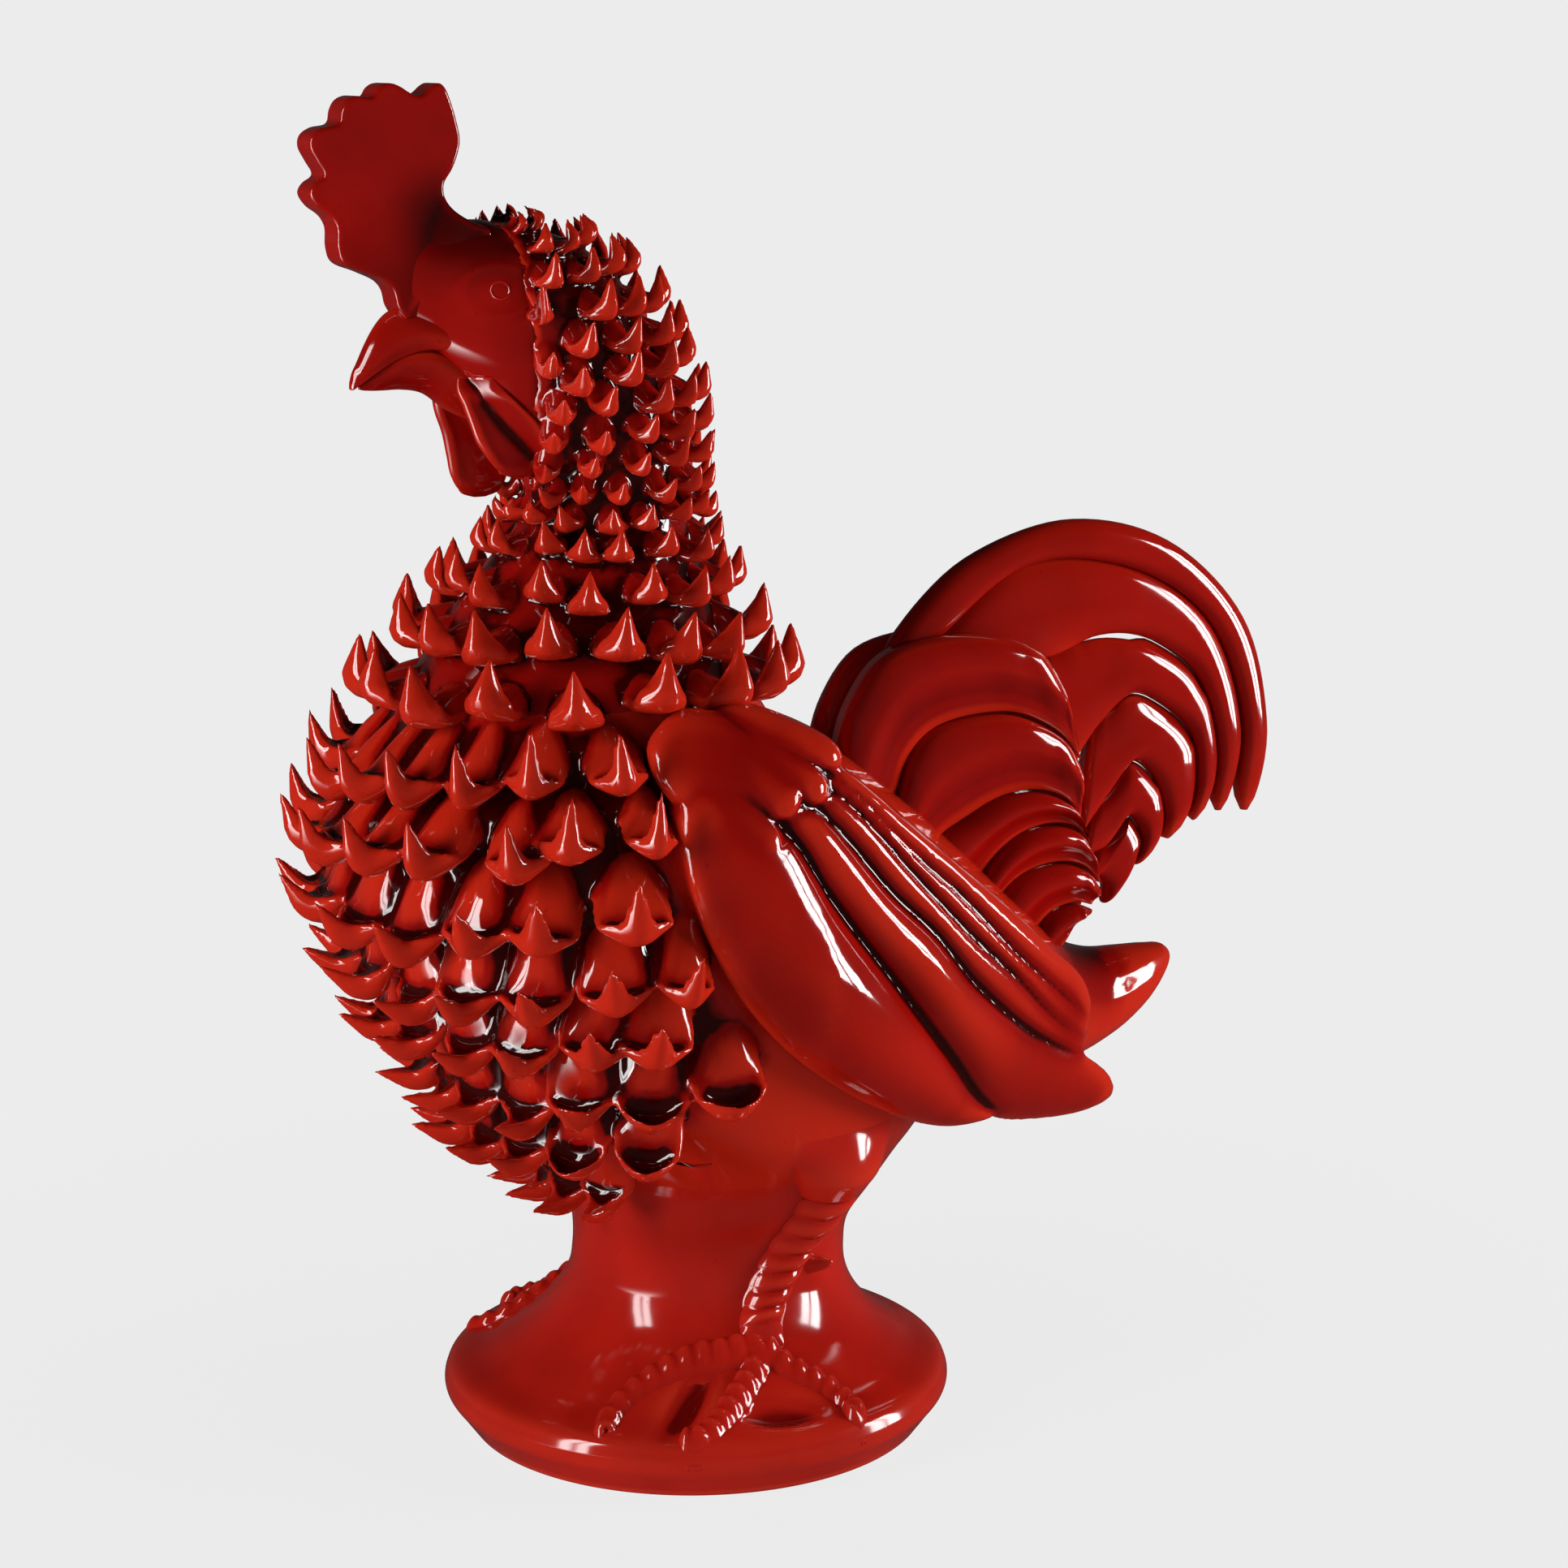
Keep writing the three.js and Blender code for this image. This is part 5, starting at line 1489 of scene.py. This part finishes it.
@dataclass
class Tail:
    """The pierced fan of sickle feathers with coverts on both faces of its core.

    Attributes:
        seam: width of the seam between neighbours.
        core_thick: thickness of the core plate.
        sickle_thick: thickness of the outermost sickle.
        sickle_taper: share of thickness that each next sickle loses.
        covert_rise: how far the coverts' rims rise over their floor.
        covert_depth: how deep the coverts reach under that floor.
        web_reach: how far the thin web fills a slot, as a share of its width.
        tip_start: share of a sickle's length at which its rounded tip starts.
        core_reach: how far glaze looks for hollows on the core, in passes of smoothing.
        sickle_reach: the same for the sickles.
        covert_reach: the same for the coverts.
        slots: width of the slot under each sickle.
        openings: share of each sickle's length from its root over which its slot is open.
        edges: lines of X and Z that neighbouring sickles share, from root to tip.
        edge_counts: steps that each edge is sampled in, before they are made finer.
        covert_edges: lines of X and Z that neighbouring coverts share.
        covert_shares: places across a covert, from its rim to its inner edge.
        covert_heights: height at each of these places, as a share of the rise.
        core_outline: the core plate's outline in X and Z.
        fine: samples for each step of an edge.
    """

    seam: float = 0.3
    core_thick: float = 11.0
    sickle_thick: float = 13.5
    sickle_taper: float = 0.05
    covert_rise: float = 8.0
    covert_depth: float = 2.5
    web_reach: float = 0.92
    tip_start: float = 0.88
    core_reach: int = 8
    sickle_reach: int = 6
    covert_reach: int = 3
    slots: tuple = (0, 0, 2.0, 3.0, 2.8, 2.4)
    openings: tuple = (0, 0, 0.3, 0.14, 0.0, 0.2)
    edges: tuple = (
        ((57, 222), (64, 239), (85, 264.5), (104, 277.5), (141, 286.4), (180, 276.8), (211.6, 247.7),
         (222.2, 212), (221, 179)),
        ((66, 219), (76, 238), (91, 252), (123, 272.5), (164, 269), (196, 249), (211, 213), (209, 180.5)),
        ((74, 216), (84, 229), (97, 237), (114, 240.5), (134, 241), (151, 246.5), (166, 246), (178, 241.5),
         (192.5, 230), (201.5, 203), (199, 181)),
        ((144, 205), (154, 217), (166, 225.5), (178, 221.3), (191, 209.5), (193.3, 193), (189.5, 176.5)),
        ((145.6, 177), (155, 189), (166, 202), (175, 197), (180.3, 183), (178.5, 170.5)),
        ((147.2, 170.5), (156, 173), (166, 183), (171.5, 175.5), (167, 162.5)),
        ((148, 158.5), (153, 163), (156.5, 160), (156.5, 151)),
    )
    edge_counts: tuple = (14, 14, 14, 9, 8, 7, 6)
    covert_edges: tuple = (
        ((48, 205), (47.5, 219), (52, 233), (64.5, 248), (91, 253), (110, 250.5), (125, 244), (130.5, 237.5)),
        ((60, 188), (69.5, 202), (74, 213.5), (83.5, 222), (109.5, 225), (124, 220.5), (135, 213),
         (140, 206)),
        ((74, 168), (85, 184.5), (95.5, 190.5), (110, 196.5), (124.5, 197), (136.5, 191.5), (140.5, 184.5)),
        ((91, 153), (100, 167.5), (107.5, 176.5), (117.5, 183), (129.5, 185), (139, 182.5), (144.5, 176.5)),
        ((102, 146.5), (111, 163.5), (120, 169.5), (134, 171.3), (143.5, 168), (149, 162)),
        ((115, 138), (124, 149), (130, 154.5), (139, 156.5), (146, 154.5)),
        ((121, 131), (128, 137), (134, 141), (138, 145.5), (141, 150.5)),
    )
    covert_shares: tuple = (0, 0.015, 0.05, 0.12, 0.2, 0.3, 0.4, 0.48, 0.58, 0.72, 0.86, 1.0)
    covert_heights: tuple = (0.3, 0.55, 0.7, 0.82, 0.91, 0.98, 1.0, 0.93, 0.75, 0.56, 0.46, 0.42)
    core_outline: tuple = (
        (112, 120), (70, 168), (54, 190), (57, 202), (66, 216), (76, 226), (92, 233), (112, 236.5),
        (130, 236), (139, 222), (143, 204), (142.5, 186), (144.5, 176), (146, 168), (146, 158),
        (144, 152), (139, 144), (128, 128),
    )
    fine: int = 4

    def beside(self, edge: Array, by: float | Array) -> Array:
        """Moves an edge square to itself, towards the feather below it.

        Args:
            edge: the edge's points.
            by: millimetres, one value or one for each point.

        Returns:
            The moved points.
        """
        along = np.empty_like(edge)
        along[1:-1] = edge[2:] - edge[:-2]
        along[0], along[-1] = edge[1] - edge[0], edge[-1] - edge[-2]
        along = unit(along)
        return edge + np.column_stack([along[:, 1], -along[:, 0]]) * np.reshape(by, (-1, 1))

    def sickle(self, number: int) -> Object:
        """Lofts one sickle feather between its two edges.

        Args:
            number: which feather, 0 for the outermost.

        Returns:
            The closed form.
        """
        count, inner_count = self.edge_counts[number], self.edge_counts[number + 1]
        outer = even_curve(self.edges[number], count * self.fine + 1)[(count - inner_count) * self.fine:]
        inner = even_curve(self.edges[number + 1], inner_count * self.fine + 1)
        u = np.linspace(0, 1, len(outer))
        gap = self.slots[number] * np.maximum(0, np.sin(np.pi * np.clip((u - 0.1) / 0.55, 0, 1)))
        a = self.beside(outer, self.seam / 2 - 0.5 * (gap < 0.2) + gap)
        b = self.beside(inner, -self.seam / 2 + 0.25)
        web = self.web_reach * ease(u, self.openings[number], self.openings[number] + 0.06)
        past = (u - self.tip_start) / 0.12
        tip = np.where(past > 0, np.sqrt(np.maximum(0.03, 1 - past**2 * 0.98)), 1)
        half_thick = self.sickle_thick / 2 * (1 - self.sickle_taper * number)
        c, s = circle(28)
        reach, rise = fuller(c, 0.75), fuller(s, 0.85)
        rings = []
        for k in range(len(u)):
            middle = (a[k] + b[k]) / 2
            line = middle + (a[k] - b[k]) * (reach * (0.05 + 0.95 * tip[k]) / 2)[:, None]
            line += unit(a[k] - b[k]) * (gap[k] * web[k] * np.exp(-((s / 0.3) ** 2)) * (c > 0))[:, None]
            rings.append(upright(line, rise * half_thick * tip[k] * (0.84 - 0.16 * reach)))
        return loft(f"sickle_{number + 1}", np.array(rings))

    def covert(self, number: int) -> Object:
        """Lofts one left covert: a raised round rim, then a hollowed band.

        Args:
            number: which covert, 0 for the uppermost.

        Returns:
            The closed form.
        """
        steps = 8 * self.fine + 1
        outer = self.beside(even_curve(self.covert_edges[number], steps), self.seam / 2)
        inner = self.beside(even_curve(self.covert_edges[number + 1], steps), -1.2)
        floor = max(self.core_thick, self.sickle_thick) / 2 + self.seam
        shares = np.array(self.covert_shares)[:, None]
        back = np.array([1.0, 0.66, 0.33, 0.0])[:, None]
        u = np.linspace(0, 1, steps)
        tip = 1 - 0.3 * ease(u, 0.75, 1) + 0.18 * np.exp(-(((u - 0.9) / 0.05) ** 2))
        rings = []
        for k in range(steps):
            line, under = (outer[k] + (inner[k] - outer[k]) * share for share in (shares, back))
            top = floor + self.covert_rise * np.array(self.covert_heights) * tip[k]
            rings.append(np.vstack([upright(line, -top), upright(under, self.covert_depth - floor)]))
        return loft(f"left_covert_{number + 1}", np.array(rings))

    def core(self) -> Object:
        """Lofts the core plate that carries the feathers.

        Returns:
            The closed form.
        """
        outline = even_curve([*self.core_outline, self.core_outline[0]], 161)[:-1]
        centre = outline.mean(0)
        rings = []
        for y, share in ((-1, 0.98), (-0.9, 0.995), (-0.6, 1), (0.6, 1), (0.9, 0.995), (1, 0.98)):
            rings.append(upright(centre + (outline - centre) * share, y * self.core_thick / 2))
        return loft("tail_plate", np.array(rings))

    def build(self, glaze: Material) -> None:
        """Builds and dresses the tail's pieces.

        Args:
            glaze: their material.
        """
        dress(self.core(), glaze, "tail_core", self.core_reach)
        for number in range(len(self.slots)):
            dress(self.sickle(number), glaze, f"sickle_feather_{number + 1}", self.sickle_reach)
        for number in range(len(self.covert_edges) - 1):
            covert = self.covert(number)
            twin = mirrored(covert, f"right_covert_{number + 1}")
            dress(covert, glaze, f"left_tail_covert_{number + 1}", self.covert_reach)
            dress(twin, glaze, f"right_tail_covert_{number + 1}", self.covert_reach)


# ---------------------------------------------------------------------------------------------
# Pedestal, legs and feet
# ---------------------------------------------------------------------------------------------


@dataclass
class Pedestal:
    """The thrown foot with its round rim and the ovals pressed between the toes.

    Attributes:
        trunk: the skin that it belongs to.
        around: points in a ring.
        reach: how far glaze looks for hollows, in passes of smoothing.
        recess_depth: how deep the ovals are pressed.
        recesses: X, Y, half length, half width and turn in degrees of the left ovals.
    """

    trunk: Trunk
    around: int = 192
    reach: int = 24
    recess_depth: float = 2.8
    recesses: tuple = ((-31, -57, 16, 6.2, 32), (-6, -70, 17, 7.0, -12))

    def build(self, glaze: Material) -> None:
        """Builds and dresses the pedestal.

        Args:
            glaze: its material.
        """
        turns = np.arange(self.around) * 360 / self.around
        heights = np.concatenate([np.linspace(0, 3, 6), np.linspace(4, 30, 60), np.linspace(31, 104, 74)])
        rings = [self.trunk.skin(turns, 0.0, grow) for grow in (-60, -40, -20, -6, -1.5)]
        for height in heights:
            points = self.trunk.skin(turns, height, -0.5 * float(ease(height, 86, 101)))
            rings.append(self.pressed(points) if height > self.trunk.rim_height else points)
        foot = loft("flared_foot", np.array(rings))
        dress(foot, glaze, "pedestal_base", self.reach, self.even)

    def even(self, places: Array, depth: Array) -> Array:
        """Evens out the hollow of the waist, where the glaze ran smooth."""
        return depth * (1 - ease(places[:, 2], 52, 76))

    def pressed(self, points: Array) -> Array:
        """Presses the toe ovals into points of the skin.

        Args:
            points: points of the skin.

        Returns:
            The moved points.
        """
        drop = np.zeros(len(points))
        for x, y, long, wide, turn in self.recesses:
            for side in Side:
                dx, dy = points[:, 0] - x, -points[:, 1] * side.value - y
                angle = math.radians(turn)
                along = dx * math.cos(angle) + dy * math.sin(angle)
                across = dy * math.cos(angle) - dx * math.sin(angle)
                near = 1 - np.hypot(along / long, across / wide)
                drop = np.maximum(drop, self.recess_depth * ease(near, -0.1, 0.85))
        return points - np.column_stack([points[:, :2] * 0, drop])


@dataclass
class Leg:
    """A scaled shank and thigh in relief, with ribbed toes and a spur.

    Attributes:
        trunk: the skin that it lies on.
        ankle: height at which the scutes begin.
        knee: height at which they end.
        hip: height at which the thigh fades out.
        rise: how far the shank rises over the skin.
        scutes: how many scutes the shank has.
        turn: degrees round the trunk at the ankle.
        turn_back: how many degrees farther back it is at the knee.
        toe_radius: half width of a toe.
        toe_margin: how far the toes stay inside the foot's edge.
        toe_clay: how the toes run together.
        spur_length: length of the spur.
        spur_radius: its radius at the root.
        toes: the toes' routes, seen from above.
        ribs: how many ribs each toe has.
    """

    trunk: Trunk
    ankle: float = 43.0
    knee: float = 86.0
    hip: float = 112.0
    rise: float = 6.5
    scutes: int = 7
    turn: float = 85.0
    turn_back: float = 21.0
    toe_radius: float = 3.6
    toe_margin: float = 4.5
    toe_clay: Clay = Clay(0.55, 3)
    spur_length: float = 8.0
    spur_radius: float = 3.4
    toes: tuple = (
        ((-2, -52), (-14, -50.5), (-28, -46), (-42, -44), (-53, -46.5), (-60, -54)),
        ((-2, -52), (-7, -56), (-19, -63), (-30, -69), (-42, -71)),
        ((-2, -52), (4, -58), (14, -64.5), (19, -73), (15, -80)),
    )
    ribs: tuple = (11, 9, 8)

    def shank(self) -> Object:
        """Lofts the left leg as a swelling of the skin that fades out at its sides.

        Returns:
            The closed form.
        """
        share = np.linspace(-1.25, 1.25, 31)
        rings = []
        for height in np.linspace(self.ankle - 6, self.hip, 110):
            turn = self.turn + self.turn_back * float(ease(height, self.ankle - 4, self.knee))
            seat = self.trunk.seat(turn, height)
            scale = (height - self.ankle) / (self.knee - self.ankle) * self.scutes
            half = (15 + 9 * np.clip(scale / self.scutes, 0, 1)) / 2
            rise = self.rise * float(ease(height, self.ankle - 6, self.ankle + 4))
            if height > self.knee:
                over = (height - self.knee) / (self.hip - self.knee)
                half = 12 + 6 * math.sin(math.pi * min(1, over * 1.1) * 0.75)
                rise = self.rise * (0.95 + 0.4 * math.sin(math.pi * over))
                rise *= 1 - 1.15 * float(ease(over, 0.3, 1))
            elif scale > 0:
                step = scale % 1
                rise *= 0.84 + 0.2 * math.sin(math.pi * min(1, step * 1.15)) ** 0.5
                half *= 0.95 + 0.07 * math.sin(math.pi * step)
            fade = 0.75 + 0.7 * float(ease(height, self.knee + 2, self.hip))
            bump = np.where(np.abs(share) < 1, np.maximum(0, 1 - share**2) ** fade, 0)
            lift = rise * bump - 1.2 * ease(np.abs(share), 0.98, 1.25)
            turns = np.degrees(share * half / max(40.0, self.trunk.level(height)[3]))
            skin = self.trunk.skin(turn + turns, height)
            rings.append(np.vstack([skin + seat.out * lift[:, None], (skin - seat.out * 5)[::-1][::5]]))
        return loft("left_shank", np.array(rings))

    def toe(self, plan: tuple, ribs: int) -> Object:
        """Lays a ribbed toe on the flared foot.

        Args:
            plan: its route, seen from above.
            ribs: how many ribs it has.

        Returns:
            The closed form.
        """
        steps = ribs * 6
        path = even_curve(plan, steps)
        radius = np.hypot(path[:, 0], path[:, 1])
        path *= np.minimum(1, (self.trunk.foot_radius - self.toe_margin) / radius)[:, None]
        along = unit(np.gradient(path, axis=0))
        square = np.column_stack([along[:, 1], -along[:, 0]])
        share = np.linspace(-1.35, 1.35, 17)
        rings = []
        for k in range(steps):
            u = k / (steps - 1)
            rib = 0.5 + 0.5 * math.cos(2 * math.pi * (u * ribs - 0.5))
            size = self.toe_radius * (0.98 + 0.1 * rib) * round_end((u - 0.88) / 0.12)
            line = path[k] + square[k] * (share * size)[:, None]
            base = self.trunk.plan_height(line[:, 0], line[:, 1])
            bump = np.where(np.abs(share) < 1, np.maximum(0, 1 - share**2) ** 0.6, 0)
            lift = size * (0.78 + 0.3 * rib) * bump - 0.9 * ease(np.abs(share), 0.95, 1.35)
            top, deep = (np.column_stack([line, z]) for z in (base + lift, base - 2.6))
            rings.append(np.vstack([top, deep[::-1][::4]]))
        return loft("toe", np.array(rings))

    def spur(self) -> Object:
        """Draws the left spur out of the shank's rear edge.

        Returns:
            The closed form.
        """
        seat = self.trunk.seat(110, (self.ankle + self.knee) / 2 - 6)
        root = seat.point - seat.out * 3
        tip = seat.point + seat.out * self.spur_length * 0.75 + seat.side * self.spur_length * 0.6
        along = unit(tip - root)
        across = unit(np.cross(along, [0, 0, 1]))
        upward = np.cross(across, along)
        c, s = (values[:, None] for values in circle(24))
        rings = []
        for t in np.linspace(0, 1, 16):
            radius = self.spur_radius * math.sqrt(max(0.004, 1 - t**1.6))
            rings.append(root + (tip - root) * t + upward * 1.2 * t**2 + radius * (c * across + s * upward))
        return loft("left_spur_thorn", np.array(rings))

    def build(self, glaze: Material) -> None:
        """Builds and dresses both legs, feet and spurs.

        Args:
            glaze: their material.
        """
        foot = joined("left_toes", [self.toe(plan, ribs) for plan, ribs in zip(self.toes, self.ribs)])
        fuse(foot, self.toe_clay)
        for obj, node in ((self.shank(), "leg"), (foot, "foot"), (self.spur(), "spur")):
            twin = mirrored(obj, obj.name.replace("left", "right"))
            dress(obj, glaze, f"left_{node}")
            dress(twin, glaze, f"right_{node}")


# ---------------------------------------------------------------------------------------------
# Studio
# ---------------------------------------------------------------------------------------------


@dataclass(frozen=True)
class Softbox:
    """A rectangular soft light that faces the ornament, in metres.

    Attributes:
        name: its name.
        place: its middle.
        width: its width.
        height: its height.
        radiance: how bright each bit of it is.
    """

    name: str
    place: tuple
    width: float
    height: float
    radiance: float

    def build(self, aim: Vector) -> None:
        """Hangs the light.

        Args:
            aim: the point that it is turned to.
        """
        lamp = bpy.data.lights.new(self.name, "AREA")
        lamp.shape = "RECTANGLE"
        lamp.size, lamp.size_y = self.width, self.height
        lamp.energy = self.radiance * math.pi * self.width * self.height
        obj = bpy.data.objects.new(self.name, lamp)
        bpy.context.scene.collection.objects.link(obj)
        obj.location = self.place
        obj.rotation_euler = (aim - Vector(self.place)).to_track_quat("-Z", "Y").to_euler()


@dataclass(frozen=True)
class Studio:
    """A pale table in a dark room with low soft lights, and the camera, in metres.

    Attributes:
        paper: linear grey of the floor and the backdrop.
        floor_size: the floor's side.
        sheen_along: direction over the floor to the left window.
        sheen_across: direction square to it.
        sheen_run: distances along, from where the painted reflection begins to where it is full.
        sheen_fade: distances across, from where that painted reflection has faded out to where it is full.
        sheen_near: how bright the floor glows to a glossy piece, as a painted reflection of the window.
        sheen_far: how bright the rest of the floor glows to a glossy piece, a painted reflection too.
        glow: light that the floor adds under the ornament.
        shade_run: distances from the ornament over which its shadow fades out.
        shade_share: how much of the plain paper is seen at the ornament.
        room_low: grey of the room near the table.
        room_high: grey of the room above.
        room_turn: how high the room turns to the upper grey, as the sine of the elevation.
        aim: the point that the lights face.
        camera_place: the camera's place.
        camera_turn: its turn in degrees.
        lens: its focal length in millimetres.
        sensor: its sensor's width in millimetres.
        lights: the two windows, each of two panes.
    """

    paper: float = 0.839
    floor_size: float = 14.0
    sheen_along: tuple = (-0.986, -0.165, 0.0)
    sheen_across: tuple = (-0.165, 0.986, 0.0)
    sheen_run: tuple = (0.35, 1.0)
    sheen_fade: tuple = (0.24, 0.1)
    sheen_near: float = 12.0
    sheen_far: float = 0.04
    glow: float = 0.2
    shade_run: tuple = (0.1, 0.45)
    shade_share: float = 0.94
    room_low: float = 0.06
    room_high: float = 0.009
    room_turn: float = 0.6
    aim: tuple = (0.03, 0.0, 0.22)
    camera_place: tuple = (-0.48588, -0.97572, 0.445)
    camera_turn: tuple = (77.857, 0.0, -28.0)
    lens: float = 80.03
    sensor: float = 36.0
    lights: tuple = (
        Softbox("left window, front pane", (-1.38, -0.33, 0.57), 0.15, 1.13, 15.0),
        Softbox("left window, rear pane", (-1.41, -0.14, 0.57), 0.15, 1.13, 15.0),
        Softbox("right window, front pane", (1.25, -0.78, 0.4), 0.2, 0.78, 20.0),
        Softbox("right window, rear pane", (1.37, -0.56, 0.4), 0.2, 0.78, 20.0),
    )

    def grey(self, level: float) -> tuple:
        """Gives a linear grey as a colour."""
        return (level, level, level, 1)

    def sheen(self, wiring: Wiring, coords: NodeSocket) -> NodeSocket:
        """Paints a reflection of the left window as a glowing strip of the floor, seen by glossy pieces
        alone.

        Args:
            wiring: the floor's material.
            coords: places on the floor.

        Returns:
            How bright the floor glows to a glossy piece.
        """
        along, across = (
            wiring.node("VectorMath", {0: coords, 1: way}, operation="DOT_PRODUCT").outputs["Value"]
            for way in (self.sheen_along, self.sheen_across)
        )
        aside = wiring.node("Math", {0: across}, operation="ABSOLUTE").outputs[0]
        run = wiring.ramp(along, *self.sheen_run, 0.0, self.sheen_near)
        fade = wiring.ramp(aside, *self.sheen_fade)
        return wiring.node("Math", {0: run, 1: fade, 2: self.sheen_far}, operation="MULTIPLY_ADD").outputs[0]

    def floor(self) -> None:
        """Lays the pale floor, which keeps the ornament's shadow and shines back from close by, glowing to
        glossy pieces in a painted reflection of the left window.
        """
        deselect()
        bpy.ops.mesh.primitive_grid_add(x_subdivisions=8, y_subdivisions=8, size=self.floor_size)
        floor = bpy.context.object
        floor.name = floor.data.name = "studio_floor"
        paper = bpy.data.materials.new("pale paper")
        wiring = Wiring(paper)
        coords = wiring.node("TexCoord").outputs["Object"]
        path = wiring.node("LightPath").outputs

        matt = wiring.node("BsdfDiffuse", {"Color": self.grey(self.paper)})
        glow = wiring.node("Emission", {"Strength": self.glow})
        lit = wiring.node("AddShader", {0: matt.outputs[0], 1: glow.outputs[0]})
        # Painted reflection: glossy rays see this glowing strip in place of the left window's reflection in
        # the floor.
        painted_window_reflection = wiring.node("Emission", {"Strength": self.sheen(wiring, coords)})
        shiny = wiring.node(
            "MixShader", {0: path["Is Glossy Ray"], 1: lit.outputs[0], 2: painted_window_reflection.outputs[0]}
        )

        distance = wiring.node("VectorMath", {0: coords}, operation="LENGTH").outputs["Value"]
        plain = wiring.node("Emission", {"Color": self.grey(self.paper)})
        clear = wiring.ramp(distance, *self.shade_run, self.shade_share, 1.0)
        share = wiring.node("Math", {0: path["Is Camera Ray"], 1: clear}, operation="MULTIPLY")
        seen = wiring.node("MixShader", {0: share.outputs[0], 1: shiny.outputs[0], 2: plain.outputs[0]})
        wiring.node("OutputMaterial", {"Surface": seen.outputs[0]})
        floor.data.materials.append(paper)

    def world(self) -> None:
        """Makes the room: dim near the table, dark above, and plain paper to the camera."""
        world = bpy.data.worlds.new("room")
        bpy.context.scene.world = world
        wiring = Wiring(world)
        ways = wiring.node("TexCoord").outputs["Generated"]
        ramp = wiring.node("ValToRGB", {0: wiring.node("SeparateXYZ", {0: ways}).outputs["Z"]})
        steps = ((0.0, self.room_low), (self.room_turn, self.room_high))
        for element, (place, level) in zip(ramp.color_ramp.elements, steps):
            element.position, element.color = place, self.grey(level)
        room = wiring.node("Background", {"Color": ramp.outputs[0]})
        paper = wiring.node("Background", {"Color": self.grey(self.paper)})
        by_camera = wiring.node("LightPath").outputs["Is Camera Ray"]
        seen = wiring.node("MixShader", {0: by_camera, 1: room.outputs[0], 2: paper.outputs[0]})
        wiring.node("OutputWorld", {"Surface": seen.outputs[0]})

    def camera(self) -> None:
        """Sets the camera at the photograph's viewing angle."""
        data = bpy.data.cameras.new("camera")
        data.lens, data.sensor_width = self.lens, self.sensor
        data.clip_start, data.clip_end = 0.05, 50.0
        obj = bpy.data.objects.new("camera", data)
        bpy.context.scene.collection.objects.link(obj)
        obj.location = self.camera_place
        obj.rotation_euler = tuple(math.radians(turn) for turn in self.camera_turn)
        bpy.context.scene.camera = obj

    def build(self) -> None:
        """Builds the floor, room, lights and camera."""
        self.floor()
        self.world()
        self.camera()
        for light in self.lights:
            light.build(Vector(self.aim))
        bpy.context.scene.view_settings.view_transform = "Standard"


# ---------------------------------------------------------------------------------------------
# Assembly
# ---------------------------------------------------------------------------------------------

# In both glazes the dark hollow colour stands for glaze that pools and for painted shade.
RED = Glaze(
    "deep red glaze",
    body=(0.36, 0.0045, 0.0025), pool_and_shade=(0.022, 0.0002, 0.0002), thin=(0.62, 0.024, 0.008),
    gloss=0.05, ripple=0.25,
)
FOOT_RED = Glaze(
    "pedestal red glaze",
    body=(0.52, 0.014, 0.007), pool_and_shade=(0.13, 0.0014, 0.001), thin=(0.64, 0.035, 0.014),
    gloss=0.08, ripple=0.3,
)


def main() -> None:
    """Builds every piece on the frame, then the studio."""
    logging.basicConfig(level=logging.INFO, format="%(name)s: %(message)s", stream=sys.stdout)
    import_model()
    red, foot_red = RED.material(), FOOT_RED.material()
    trunk, wing = Trunk(), Wing()
    Pedestal(trunk).build(foot_red)
    Leg(trunk).build(foot_red)
    Body(trunk, wing).build(red)
    wing.pair(red)
    neck = Neck(trunk)
    neck.build(red)
    Head(trunk, neck).build(red)
    Tail().build(red)
    Studio().build()


if __name__ == "__main__":
    main()
